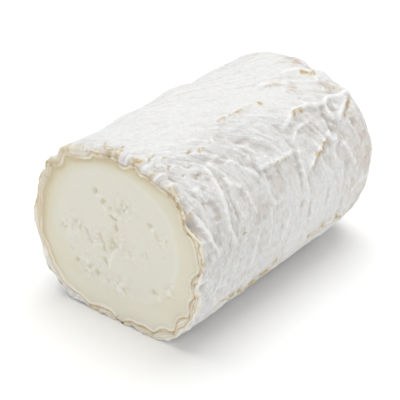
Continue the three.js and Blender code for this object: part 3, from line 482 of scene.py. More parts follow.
def back_folds(arc_step):
    """Folds for the side that is turned away."""
    folds = {}
    near, far = BACK_RANGE
    low, high = BACK_ANGLES
    for n in range(BACK_COUNT):
        d = [0, *(float(draw([n], [k], BACK_SEED)[0]) for k in range(1, 8))]
        along = near + (far - near) * (n + d[1]) / BACK_COUNT
        angle = low + (high - low) * d[2]
        turn = math.pi * (0.1 + 0.8 * d[3])
        reach = 5 + 6 * d[4]
        bend = 3 * (d[5] - 0.5)
        step, lift = reach * math.cos(turn), reach * math.sin(turn) / arc_step
        path = [(along - step, angle - lift), (along + bend, angle), (along + step, angle + lift)]
        shape = (BACK_HEIGHT * (0.6 + 0.6 * d[6]), 1 + 2 * d[7], 1, 0.5 * d[6])
        folds[f"back fold {n + 1}"] = (shape, path)
    return folds


def turn_between(angle, other):
    """The turn from the other angle to this one, from -180 to 180 degrees."""
    return (angle - other + 180) % 360 - 180


class Log:
    """The form of the cheese, worked out in millimetres from the sizes in the panel."""

    def __init__(self, sizes):
        self.radius = sizes.mean_radius / MM
        self.length = sizes.length / MM
        self.corner = sizes.end_corner / MM
        self.dome = sizes.end_dome / MM
        self.taper = sizes.end_taper
        self.yaw, self.pitch = math.tan(sizes.cut_yaw), math.tan(sizes.cut_pitch)
        self.lip_share = sizes.lip_share
        self.lip_height = sizes.lip_height / MM
        self.ruffle = sizes.ruffle / MM
        self.groove = sizes.groove_depth / MM
        self.fold_share = sizes.fold_share
        self.arc_step = self.radius * RAD
        self.middle = self.section(np.array([BELLY]))[0] - sizes.flat_depth / MM
        self.folds = {**FOLDS, **back_folds(self.arc_step)}
        self.edge_angles = np.arange(0, 360, 0.25)
        self.rims, self.lips = self.measure_edge()
        self.shift = frame_shift(self)

    def section(self, angle):
        r = 1
        for waves, cos_share, sin_share in SECTION_WAVES:
            turned = waves * angle * RAD
            r = r + cos_share * np.cos(turned) + sin_share * np.sin(turned)
        return self.radius * r

    def from_belly(self, angle):
        return BELLY + (angle - BELLY) % 360

    def cut_at(self, x, z):
        return x * self.yaw + (z - self.middle) * self.pitch

    def wandered(self, along, arc):
        u, v = along / WANDER_PITCH, arc / WANDER_PITCH
        return (
            along + WANDER_AMOUNT * field(u, v, WANDER_SEED),
            arc + WANDER_AMOUNT * field(u, v, WANDER_SEED + 1),
        )

    def calm(self, along, turned):
        """How much the rind wrinkles: 1, and less on the top, where it is smooth."""
        start = TOP_FROM - TOP_DROP * ramp(*TOP_DROP_PLACE, along)
        top = ramp(0, TOP_SOFTNESS, turned - start) * ramp(*TOP_END, turned)
        top = top * ramp(*TOP_LAST, along)
        return 1 - TOP_CALM * top * (0.5 + 0.5 * ramp(0, 12, along))

    def flow(self, along, turned):
        """How far along the log the wrinkle that runs through this place leaves the side."""
        down = self.arc_step * np.clip(LOW_ANGLE - turned, 0, LOW_REACH)
        slanted = (along + LOW_SLANT * down) / (1 + SLANT_FALL * down)
        over = BEND * (1 - np.cos(np.clip(turned - BEND_ANGLE, 0, 180) * RAD))
        return np.maximum(along + LEAST_SLANT * down, slanted) + over

    def ragged(self, along, turned):
        """Places moved a little, so that a round patch gets an uneven outline."""
        u, v = along / RAGGED_PITCH, turned * self.arc_step / RAGGED_PITCH
        return along + RAGGED_ALONG * field(u, v, 53), turned + RAGGED_ROUND * field(u, v, 54)

    def fold_parts(self, along, arc):
        """Height of all folds together, how bare their crests are, and their painted highlight."""
        along, arc = self.wandered(along, arc)
        total = np.zeros(along.shape)
        bare = np.zeros(along.shape)
        white = np.zeros(along.shape)
        for (height, left, right, tan), path in self.folds.values():
            points = np.array([(y, angle * self.arc_step) for y, angle in path])
            reach = 3 * max(left, right)
            low, high = points.min(0) - reach, points.max(0) + reach
            near = (along > low[0]) & (along < high[0]) & (arc > low[1]) & (arc < high[1])
            nearest, side, place = path_distance(points, along[near], arc[near])
            ends = ramp(0, FOLD_ENDS, place) * ramp(1, 1 - FOLD_ENDS, place)
            width = np.where(side > 0, left, right)
            total[near] += self.fold_share * height * ends * crease(nearest / width)
            u, v = along[near] / BARE_PITCH, arc[near] / BARE_PITCH
            wear_and_painted_light = tan * ends * (0.8 + 0.5 * field(u, v, 56))
            line = wear_and_painted_light * bell(nearest / np.where(side > 0, *BARE_WIDTHS))
            bare[near] = np.maximum(bare[near], line)
            # Painted highlight: a white line along the crest of each fold that stands high enough.
            bright = ramp(0.3, 1, height) * ends * bell((nearest - WHITE_AWAY) / WHITE_WIDTH)
            white[near] = np.maximum(white[near], bright)
        return total, bare, white

    def relief(self, along, angle):
        """How far the rind stands out from the plain section, how bare its folds are, and the
            painted highlight on their crests."""
        turned = self.from_belly(angle)
        arc = turned * self.arc_step
        width, length, _, rise, seed = SWELLS
        height = rise * field(along / width, arc / length, seed)
        for y, a, lump, reach, reach_round in LUMPS:
            away = patch_distance(along, turned, y, a, reach, reach_round)
            height = height + lump * np.exp(-away)
        u, v = self.ragged(along, turned)
        for y, a, depth, reach, reach_round in DENTS:
            height = height - depth * np.exp(-patch_distance(u, v, y, a, reach, reach_round))
        folds, bare, white = self.fold_parts(along, arc)
        calm = self.calm(along, turned)
        flow = self.flow(along, turned)
        low, high = ramp(*LOW_SIDE, turned), ramp(*HIGH_SIDE, turned)
        height = height + folds + calm * (1 - LOW_WRINKLES * low) * crests(WRINKLES, flow, arc)
        patchy = calm * (0.7 + 0.6 * field(flow / PATCHY_PITCH, arc / PATCHY_PITCH, 12))
        share = 1 - LOW_CRINKLES * low - HIGH_CRINKLES * high
        height = height + patchy * share * crests(CRINKLES, flow, arc)
        u, v = along / MOTTLE_PITCH, arc / MOTTLE_PITCH
        height = height + MOTTLE_HEIGHT * high * patchy * field(u, v, 14)
        height = height + patchy * crests(STREAKS, flow, arc)
        near_cut = np.exp(-along / CRUMPLE_REACH)
        height = height + calm * near_cut * crests(CRUMPLE, along, arc)
        height = height + calm * crests(CREPE, along, arc) + crests(GRAIN, along, arc)
        belly_distance = np.minimum(turned - BELLY, BELLY + 360 - turned)
        return height * ramp(*BELLY_FADE, belly_distance), bare, white

    def edge_out(self, angle):
        """The in and out of the rind's cut edge."""
        arc = self.from_belly(angle) * self.arc_step
        small = SMALL_RUFFLE * field(arc / SMALL_RUFFLE_PITCH, 0.5, 32)
        out = self.ruffle * (field(arc / RUFFLE_PITCH, 0.5, 31) + small)
        for a, reach, rise in EDGE_BUMPS:
            out = out + rise * bell(turn_between(angle, a) / reach)
        return out

    def lift(self, along, angle):
        """Where the cut edge lifts off what it rests on, so that a gap shows under it."""
        rise = sum(h * bell(turn_between(angle, a) / reach, 4) for a, reach, h in LIFTS)
        return -rise * bell(along / LIFT_REACH)

    def measure_edge(self):
        """Works out, once, how far the cut edge stands out and where its lip lies."""
        angle = self.edge_angles
        arc = self.from_belly(angle) * self.arc_step
        rims = self.relief(RIM_PLACE, angle)[0] + self.edge_out(angle) + self.lift(0, angle)
        places, insets = zip(*sorted((self.from_belly(a), inset) for a, inset in LIP))
        turns = (self.from_belly(angle + LIP_SOFTNESS * k) for k in (-1, 0, 1))
        lips = sum(np.interp(turn, places, insets, period=360) for turn in turns) / 3
        lips = lips + 0.12 * field(arc / 1.4, 0.5, 45) + 0.08 * field(arc / 0.7, 0.5, 46)
        return rims, np.maximum(self.lip_share * lips + rims, LEAST_LIP)

    def rim(self, angle):
        """How far the cut edge stands out from the plain section."""
        return np.interp(angle, self.edge_angles, self.rims, period=360)

    def lip_inset(self, angle):
        """Distance of the cut rind's inner lip from the edge."""
        return np.interp(angle, self.edge_angles, self.lips, period=360)

    def bay(self, angle):
        """How much of a bay the cut rind forms here, from 0 to 1."""
        return ramp(1.5, 2.9, self.lip_inset(angle))

    def top(self, angle):
        """How much the mould comes over the edge, from 0 to 1."""
        return bell(turn_between(angle, TOP_ANGLE) / TOP_REACH, 4)

    def strands(self, angle):
        """How much the cut rind shows strands, from 0 to 1."""
        low, high = STRAND_RANGE
        turned = turn_between(angle, 0)
        return ramp(low - 3, low + 3, turned) * ramp(high + 3, high - 3, turned)

    def flush(self, angle):
        """How much the cut rind lies flush with the paste, from 0 to 1."""
        return bell(turn_between(angle, FLUSH_ANGLE) / FLUSH_REACH, 4)

    def shoulder(self, angle):
        """The soft corner between skin and cut: its reach inwards and along the log."""
        bay, top = self.bay(angle), self.top(angle)
        inwards = np.minimum(0.35 + bay * (0.35 + 0.9 * top), self.lip_inset(angle) - SKIN_LINE)
        return np.maximum(inwards, 0.3), 0.35 + bay * (0.25 + 1.1 * top) + 0.3 * top

    def strand_wander(self, arc):
        """How far the strands stray from their line, as a share of the way to the lip."""
        return 0.1 * field(arc / 2.2, 0.5, 43)

    def front(self, inset, angle):
        """Depth of the cut rind behind the knife's plane: strands, lip and foot."""
        arc = self.from_belly(angle) * self.arc_step
        lip = self.lip_inset(angle)
        from_lip = inset - lip
        bold = 1 - 0.85 * self.flush(angle)
        depth = -self.lip_height * bell(from_lip / LIP_WIDTH)
        groove = 0.16 * (1 - 0.7 * self.top(angle))
        depth = depth + groove * bell((from_lip + TAN_LINE) / TAN_LINE_WIDTH)
        skin = ramp(-SKIN_LINE + 0.1, -SKIN_LINE - 0.3, from_lip)
        swell = -0.25 * self.bay(angle) * skin
        wander = self.strand_wander(arc)
        for share, height in STRANDS:
            line = bell((inset / lip - share - wander) / 0.075)
            swell = swell - height * self.strands(angle) * skin * line
        depth = depth + swell + 0.22 * skin * field(arc / 2.6, 4 * inset / lip, 44)
        for a, away, half, across, deep in GAPS:
            spot = patch_distance(turn_between(angle, a), inset, 0, away, half, across)
            depth = depth + deep * bell(spot, 1.5)
        return bold * depth + self.groove * ramp(0, 0.9, from_lip)

    def place(self, angle, along, inset, out=0, lean=0, share=1, cut=0):
        """Points of the surface. Inset is in from the plain section, out is along the skin's
        own direction, and cut is how far the place follows the knife's slant."""
        taper = 1 + (self.taper - 1) * along / self.length
        r = share * self.section(angle) * taper - inset + out * np.cos(lean)
        x = r * np.cos(angle * RAD)
        z = self.middle + r * np.sin(angle * RAD)
        y = along + out * np.sin(lean) + cut * self.cut_at(x, z)
        return np.stack([x, y, np.maximum(z, 0)], -1)


def spun_blank(name, rows, columns):
    """A plain closed tube round Y, one row for each whole unit along it, to be shaped."""
    bm = bmesh.new()
    line = [bm.verts.new((1, row, 0)) for row in range(rows)]
    edges = [bm.edges.new(pair) for pair in zip(line, line[1:])]
    bmesh.ops.spin(
        bm,
        geom=line + edges,
        cent=(0, 0, 0),
        axis=(0, -1, 0),
        angle=2 * math.pi,
        steps=columns,
        use_merge=True,
    )
    for row in (0, rows - 1):
        ring = [v for v in bm.verts if round(v.co.y) == row]
        bmesh.ops.pointmerge(bm, verts=ring, merge_co=(0, row, 0))
    bmesh.ops.recalc_face_normals(bm, faces=bm.faces)
    mesh = bpy.data.meshes.new(name)
    bm.to_mesh(mesh)
    bm.free()
    return mesh


def eased_in(points):
    """Points in millimetres, with the few that would stand out of the solid's box eased in."""
    for axis, sides in enumerate(((-1, 1), (-1, 1), (1,))):
        for side in sides:
            limit = max(side * corner[axis] for corner in CAD_BOX) / MM - BOX_MARGIN - BOX_SOFTNESS
            over = side * points[..., axis] - limit
            eased = side * (limit + BOX_SOFTNESS * np.tanh(over / BOX_SOFTNESS))
            points[..., axis] = np.where(over > 0, eased, points[..., axis])
    return points


def shape_blank(mesh, points, values, shift):
    """Moves each point of a spun blank to its place in the grid of rows and columns."""
    rows, columns = points.shape[:2]
    co = np.empty(len(mesh.vertices) * 3)
    mesh.vertices.foreach_get("co", co)
    co = co.reshape(-1, 3)
    row = np.rint(co[:, 1]).astype(int)
    turn = np.arctan2(co[:, 2], co[:, 0]) / (2 * math.pi)
    column = np.rint(turn * columns).astype(int) % columns
    placed = eased_in(points[row, column] + shift) * MM
    mesh.vertices.foreach_set("co", placed.ravel())
    mesh.update()
    for name, value in values.items():
        layer = mesh.attributes.new(name, "FLOAT", "POINT")
        layer.data.foreach_set("value", np.clip(value[row, column], 0, 1).astype(np.float32))


def column_angles(columns):
    """The angle of each column, closer together on the side with most folds."""
    share = np.arange(columns) / columns
    swing = np.sin(2 * math.pi * share - DENSE_ANGLE * RAD) + math.sin(DENSE_ANGLE * RAD)
    return (360 * share - DENSE_SHARE / RAD * swing) % 360


def finish_piece(mesh, name, material):
    """Smooth faces, an object at the origin, and its place in the frame."""
    mesh.polygons.foreach_set("use_smooth", np.ones(len(mesh.polygons), bool))
    mesh.materials.append(material)
    piece = bpy.data.objects.new(name, mesh)
    bpy.context.collection.objects.link(piece)
    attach(piece, BODY)
    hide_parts(NODE)


def blurred(grid, row_reach, column_reach):
    """A grid smoothed along its rows and, all the way round, along its columns."""
    out = grid
    for axis, reach in ((0, row_reach), (1, column_reach)):
        steps = np.arange(-3 * reach, 3 * reach + 1)
        weights = np.exp(-((steps / reach) ** 2))
        weights /= weights.sum()
        if axis == 0:
            padded = np.pad(out, ((3 * reach, 3 * reach), (0, 0)), mode="edge")
            out = sum(w * padded[i : i + len(grid)] for i, w in enumerate(weights))
        else:
            out = sum(w * np.roll(out, -step, axis=1) for step, w in zip(steps, weights))
    return out


class Nodes:
    """A material's node tree, with short ways to add and join nodes."""

    def __init__(self, name):
        self.material = bpy.data.materials.new(name)
        self.material.use_nodes = True
        self.tree = self.material.node_tree
        self.shader = self.tree.nodes["Principled BSDF"]

    def add(self, kind, **settings):
        node = self.tree.nodes.new("ShaderNode" + kind)
        for key, value in settings.items():
            setattr(node, key, value)
        return node

    def join(self, source, target):
        self.tree.links.new(source, target)

    def value(self, name):
        node = self.add("Attribute", attribute_name=name)
        return node.outputs["Fac"]

    def noise(self, scale, detail=3, roughness=0.55, stretch=None, place=None):
        place = place or self.add("TexCoord").outputs["Object"]
        if stretch:
            mapping = self.add("Mapping")
            mapping.inputs["Scale"].default_value = stretch
            self.join(place, mapping.inputs["Vector"])
            place = mapping.outputs["Vector"]
        node = self.add("TexNoise")
        node.inputs["Scale"].default_value = scale
        node.inputs["Detail"].default_value = detail
        node.inputs["Roughness"].default_value = roughness
        self.join(place, node.inputs["Vector"])
        return node.outputs["Fac"]

    def range(self, source, low, high, to_low=0, to_high=1):
        node = self.add("MapRange", clamp=True)
        ends = {"From Min": low, "From Max": high, "To Min": to_low, "To Max": to_high}
        for key, value in ends.items():
            node.inputs[key].default_value = value
        self.join(source, node.inputs["Value"])
        return node.outputs["Result"]

    def maths(self, operation, first, second):
        node = self.add("Math", operation=operation)
        for socket, value in zip(node.inputs, (first, second)):
            if isinstance(value, (int, float)):
                socket.default_value = value
            else:
                self.join(value, socket)
        return node.outputs["Value"]

    def plus(self, first, second):
        return self.maths("ADD", first, second)

    def times(self, first, second):
        return self.maths("MULTIPLY", first, second)

    def blend(self, share, first, second):
        """A mix of two colours, each a colour or another node's output."""
        node = self.add("Mix", data_type="RGBA")
        self.join(share, node.inputs["Factor"])
        for socket, colour in ((node.inputs[6], first), (node.inputs[7], second)):
            if isinstance(colour, bpy.types.NodeSocket):
                self.join(colour, socket)
            else:
                socket.default_value = (*colour, 1)
        return node.outputs[2]

    def bump(self, height, strength, distance, under=None):
        node = self.add("Bump")
        node.inputs["Strength"].default_value = strength
        node.inputs["Distance"].default_value = distance
        self.join(height, node.inputs["Height"])
        if under:
            self.join(under, node.inputs["Normal"])
        return node.outputs["Normal"]

    def set(self, **values):
        for key, value in values.items():
            self.shader.inputs[key.replace("_", " ")].default_value = value


def rind_material(colours):
    n = Nodes("bloomy rind")
    grain = n.noise(1000, 3, 0.6)
    place = n.add("CombineXYZ")
    n.join(n.value("flow"), place.inputs["X"])
    n.join(n.value("around"), place.inputs["Y"])
    streaks = n.noise(PLACE_RANGE, 4, 0.6, (0.9, 0.25, 1), place.outputs["Vector"])
    furrow = n.maths("ABSOLUTE", n.maths("SUBTRACT", streaks, 0.5), 0)
    cloud = n.plus(
        n.range(n.noise(160, 4), 0.35, 0.65, 0, 0.2), n.range(grain, 0.35, 0.65, -0.25, 0.5)
    )
    # Painted shade: the mould is darkened in the furrows of the fine streaks, more where the
    # wrinkles are strong.
    wear_and_painted_light = n.range(n.value("wear_and_painted_light"), 0.35, 1, 0.25, 1)
    cloud = n.plus(cloud, n.times(n.range(furrow, 0.02, 0.14, -0.2, 0.8), wear_and_painted_light))
    mould = n.blend(n.range(cloud, 0, 1), colours.mould, colours.thin_mould_and_furrow_shade)
    # Thin brown mould, and painted shade in a few hollows, from the patches of thin mould.
    thin_mould_and_shade = n.plus(n.value("thin_mould_and_shade"), n.range(streaks, 0.35, 0.65, -0.35, 0.25))
    thin_mould_and_shade = n.times(n.range(thin_mould_and_shade, 0.1, 1), n.range(n.value("thin_mould_and_shade"), 0, 0.3))
    mould = n.blend(thin_mould_and_shade, mould, colours.brown)
    # Painted shade: rind that lies lower than the rind around it takes the hollow colour.
    height = n.value("height")
    mould = n.blend(n.range(height, 0.45, 0.08), mould, colours.hollow)
    # Painted highlight: the crests of the folds are whitened.
    white = n.range(n.value("crest"), 0.56, 0.9)
    white = n.times(white, n.range(n.value("wear_and_painted_light"), 0.3, 1, 0.7, 1))
    mould = n.blend(white, mould, colours.crest)
    patchy = n.plus(grain, n.noise(450, 3))
    uneven = n.times(
        n.range(patchy, 0.75, 1.25, -0.25, 0.25), n.range(n.value("bare"), 0.25, 0.7, 0.3, 1)
    )
    bare = n.plus(n.value("bare"), uneven)
    bare = n.times(n.range(bare, 0.2, 0.9), n.range(n.value("bare"), 0.02, 0.3))
    dark = n.plus(n.noise(600, 3), n.times(bare, 0.2))
    tan = n.blend(n.range(dark, 0.52, 0.7), colours.tan, colours.tan_dark)
    cut = n.blend(n.value("pale"), colours.cut_rind, colours.cut_lip)
    colour = n.blend(bare, n.blend(n.value("cut"), mould, cut), tan)
    n.join(colour, n.shader.inputs["Base Color"])
    n.join(n.range(bare, 0, 1, 0.92, 0.6), n.shader.inputs["Roughness"])
    fine = n.bump(grain, 0.8, 0.00022)
    n.join(n.bump(n.times(furrow, wear_and_painted_light), 0.8, -0.0013, fine), n.shader.inputs["Normal"])
    n.set(Sheen_Weight=0.15, Sheen_Roughness=0.6, Subsurface_Weight=0.08, Subsurface_Scale=0.0008)
    n.set(Subsurface_Radius=(1, 0.9, 0.75), Specular_IOR_Level=0.25)
    return n.material


def paste_material(colours):
    n = Nodes("cut paste")
    drift = n.range(n.noise(90, 3), 0.35, 0.65, -0.05, 0.05)
    ring = n.plus(n.value("ring"), drift)
    colour = n.blend(n.range(ring, 0.1, 0.55), colours.paste_ring, colours.paste_edge)
    colour = n.blend(n.range(ring, 0.55, 1), colour, colours.paste_rim)
    colour = n.blend(n.times(n.value("core"), 0.85), colour, colours.paste)
    colour = n.blend(n.value("pit"), colour, colours.paste_pit)
    # Pale crumbs and crack ridges, and painted light that makes the lower paste paler.
    colour = n.blend(n.value("pale"), colour, colours.paste_pale)
    n.join(colour, n.shader.inputs["Base Color"])
    n.join(n.range(n.noise(300, 3), 0.3, 0.7, 0.42, 0.6), n.shader.inputs["Roughness"])
    fine = n.bump(n.noise(1400, 4, 0.6), 0.25, 0.00012)
    n.join(n.bump(n.noise(260, 3), 0.25, 0.0003, fine), n.shader.inputs["Normal"])
    n.set(Subsurface_Weight=0.2, Subsurface_Scale=0.002, Subsurface_Radius=(1, 0.8, 0.5))
    n.set(Specular_IOR_Level=0.3)
    return n.material


class CheeseSizes(bpy.types.PropertyGroup):
    mean_radius: FloatProperty(
        name="Mean radius", description="Mean radius of the log", default=0.030, unit="LENGTH"
    )
    length: FloatProperty(
        name="Length", description="From the cut to the uncut end", default=0.0882, unit="LENGTH"
    )
    end_corner: FloatProperty(
        name="End corner", description="Rounding of the uncut end", default=0.009, unit="LENGTH"
    )
    end_dome: FloatProperty(
        name="End dome", description="Swell of the uncut end", default=0.0014, unit="LENGTH"
    )
    end_taper: FloatProperty(
        name="End taper", description="Size of the uncut end against the cut one", default=0.997
    )
    cut_yaw: FloatProperty(
        name="Cut yaw", description="The knife's slant seen from above", default=0.9 * RAD,
        subtype="ANGLE",
    )
    cut_pitch: FloatProperty(
        name="Cut pitch", description="The knife's slant seen from the side", default=1.5 * RAD,
        subtype="ANGLE",
    )
    flat_depth: FloatProperty(
        name="Flat depth", description="How much of the belly is pressed flat", default=0.00095,
        unit="LENGTH",
    )
    lip_share: FloatProperty(
        name="Lip share", description="How far in the cut rind's lip lies, 1 as measured", default=1
    )
    lip_height: FloatProperty(
        name="Lip height", description="How far the lip stands proud", default=0.0003, unit="LENGTH"
    )
    groove_depth: FloatProperty(
        name="Groove depth", description="How far the paste sinks next to the rind",
        default=0.00018, unit="LENGTH",
    )
    fold_share: FloatProperty(
        name="Fold share", description="How bold the named folds are, 1 as measured", default=1.2
    )
    ruffle: FloatProperty(
        name="Ruffle", description="Depth of the waves of the cut edge", default=0.00016,
        unit="LENGTH",
    )
    columns: IntProperty(
        name="Columns", description="Faces round the log", default=404, min=24
    )


def colour_property(name, description, default):
    return FloatVectorProperty(
        name=name, description=description, default=default, subtype="COLOR", min=0, max=1
    )


class CheeseColours(bpy.types.PropertyGroup):
    mould: colour_property("Mould", "Thick white mould", (0.803, 0.805, 0.802))
    # Thinner mould, and the painted shade in the furrows of the fine streaks.
    thin_mould_and_furrow_shade: colour_property("Thin mould", "Thinner mould", (0.715, 0.70, 0.685))
    # Painted highlight on the crests of the folds.
    crest: colour_property("Crest", "Mould on the crests of the folds", (0.94, 0.94, 0.94))
    # Painted shade down in the folds and hollows.
    hollow: colour_property("Hollow", "Mould down in the folds", (0.59, 0.555, 0.525))
    # Thin greyish brown mould; also painted shade in a few hollows, such as the pocket by the cut.
    brown: colour_property("Brown mould", "Thin greyish brown mould", (0.585, 0.50, 0.435))
    tan: colour_property("Tan rind", "Bare rind", (0.76, 0.68, 0.51))
    tan_dark: colour_property("Dark tan rind", "Darkest bare rind", (0.54, 0.43, 0.25))
    cut_rind: colour_property("Cut rind", "Rind seen at the cut", (0.68, 0.53, 0.315))
    cut_lip: colour_property("Cut lip", "Pale parts of the cut rind", (0.90, 0.87, 0.77))
    paste: colour_property("Paste", "Core of the paste", (0.785, 0.775, 0.69))
    paste_ring: colour_property("Paste ring", "Riper paste round the core", (0.775, 0.745, 0.615))
    paste_edge: colour_property("Paste edge", "Ripe paste near the rind", (0.755, 0.71, 0.56))
    paste_rim: colour_property("Paste rim", "Ripest paste at the rind", (0.66, 0.57, 0.38))
    paste_pit: colour_property("Paste pit", "Inside the holes", (0.66, 0.60, 0.44))
    # Pale crumbs; also painted light that makes the lower paste paler.
    paste_pale: colour_property("Pale crumb", "Raised crumbs", (0.88, 0.87, 0.80))


# Rows of the rind's skin, from the middle of the recess behind the paste, out over the cut
# edge and along the log to the middle of the uncut end.
RECESS_DEPTH = 5
RECESS_ROWS = 5
WALL_ROWS = 3
FRONT_ROWS = 26
ROUND_ROWS = 6
CUT_ZONES = ("recess", "wall", "front", "round")
START_REACH = 5  # the skin's rows are moved along by the shoulder over this length
RIM_STEP, BODY_STEP = 0.3, 0.5
FINE_REACH = 9
CORNER_ROWS = 22
END_ROWS = 22
# The uncut end: the share of its radius over which the flat layout of its relief takes over, how
# far that relief is sunk, its broad waves, and how the lines of its wrinkles lean and bend.
END_BLEND, END_SINK = 0.35, 0.3
END_WAVES = (12, 10, 0.6)
END_LEAN, END_BEND, END_BEND_PITCH = 0.6, 2.5, 9
FOOT_WIDTH = 0.9  # from the inner ridge of the cut rind to its foot in the paste
TUCK = 0.25  # how far the paste reaches in under the rind's foot


def end_relief(x, up):
    """Relief of the uncut end, laid out flat, so that no wrinkle runs to its middle."""
    bent = x + END_LEAN * up + END_BEND * field(x / END_BEND_PITCH, up / END_BEND_PITCH, 71)
    across, upwards, rise = END_WAVES
    height = rise * field(x / across, up / upwards, 72) + crests(WRINKLES, bent, up)
    height = height + crests(CRINKLES, bent, up) - END_SINK
    return height + 1.5 * MOTTLE_HEIGHT * field(x / MOTTLE_PITCH, up / MOTTLE_PITCH, 73)


def rind_rows(log):
    """One entry for each row of the skin: zone, along, a share of its zone, and lean."""
    rows = [("recess", RECESS_DEPTH, i / RECESS_ROWS, 0) for i in range(RECESS_ROWS)]
    rows += [("wall", RECESS_DEPTH * (1 - i / WALL_ROWS), 0, 0) for i in range(WALL_ROWS)]
    rows += [("front", 0, 1 - i / FRONT_ROWS, 0) for i in range(FRONT_ROWS)]
    rows += [("round", 0, i / ROUND_ROWS, 0) for i in range(ROUND_ROWS)]
    along = 0.0
    body_end = log.length - log.corner
    while along < body_end:
        rows.append(("body", along, 0, 0))
        along += RIM_STEP + (BODY_STEP - RIM_STEP) * min(along / FINE_REACH, 1)
    for i in range(CORNER_ROWS):
        share = i / CORNER_ROWS
        lean = math.pi / 2 * share
        rows.append(("corner", body_end + log.corner * math.sin(lean), share, lean))
    rows += [("end", log.length, i / END_ROWS, math.pi / 2) for i in range(END_ROWS + 1)]
    return rows


def rind_grid(log, columns):
    """Points of the rind's skin as a grid of rows and columns, and its colour values."""
    rows = rind_rows(log)
    angle = column_angles(columns)
    lip = log.lip_inset(angle)
    foot = lip + FOOT_WIDTH
    inwards, start = log.shoulder(angle)
    along = np.array([0 if row[0] in CUT_ZONES else row[1] for row in rows])[:, None] + 0 * angle
    along = along + start * np.clip(1 - along / START_REACH, 0, 1)
    relief, bare, white = log.relief(along, angle + 0 * along)
    edge = log.edge_out(angle)
    rim = log.rim(angle)
    first = next(i for i, row in enumerate(rows) if row[0] == "body")
    step = rim - edge - log.lift(0, angle) - relief[first]
    section = log.section(angle)
    points = np.zeros((len(rows), columns, 3))
    inset_of = np.full(points.shape[:2], 9.0)
    cut = np.zeros(points.shape[:2])
    end = np.zeros(points.shape[:2])
    for i, (kind, y, share, lean) in enumerate(rows):
        out = relief[i]
        if kind == "recess":
            where = log.place(angle, y, share * foot, share * rim, share=share, cut=1)
        elif kind == "wall":
            where = log.place(angle, y, foot, rim, cut=1)
            where[:, 1] += log.groove
        elif kind == "front":
            inset = inwards + share * (foot - inwards)
            where = log.place(angle, 0, inset, rim, cut=1)
            where[:, 1] += log.front(inset, angle)
            inset_of[i] = inset
            cut[i] = 1
        elif kind == "round":
            turn = share * math.pi / 2
            inset = inwards * (1 - math.sin(turn))
            depth = log.front(inwards, angle) * math.cos(turn) + start * (1 - math.cos(turn))
            where = log.place(angle, 0, inset, rim, cut=1)
            where[:, 1] += depth
            inset_of[i] = inset
            cut[i] = 1 - share
        elif kind == "body":
            y = along[i]
            fade = bell((y - start) / EDGE_REACH)
            out = out + fade * (edge + step) + log.lift(y - start, angle)
            where = log.place(angle, y, 0, out, cut=fade)
        elif kind == "corner":
            inset = log.corner * (1 - math.cos(lean))
            where = log.place(angle, y, inset, (1 - 0.45 * share) * out, lean)
        else:
            inset = log.corner + share * (section * log.taper - log.corner)
            rise = log.dome * (1 - (1 - share) ** 2)
            plain = log.place(angle, y, inset, 0, lean)
            end[i] = ramp(0, END_BLEND, share)
            relief[i] = (1 - end[i]) * out + end[i] * end_relief(plain[:, 0], plain[:, 2])
            where = log.place(angle, y, inset, 0.5 * relief[i] + rise, lean)
        points[i] = where
    points[-1] = (0, points[-1, :, 1].mean(), log.middle)
    values = rind_values(log, along, angle, relief, bare, white, inset_of, cut)
    for key in ("bare", "thin_mould_and_shade", "wear_and_painted_light"):
        values[key] = values[key] * (1 - end)
    return points, values


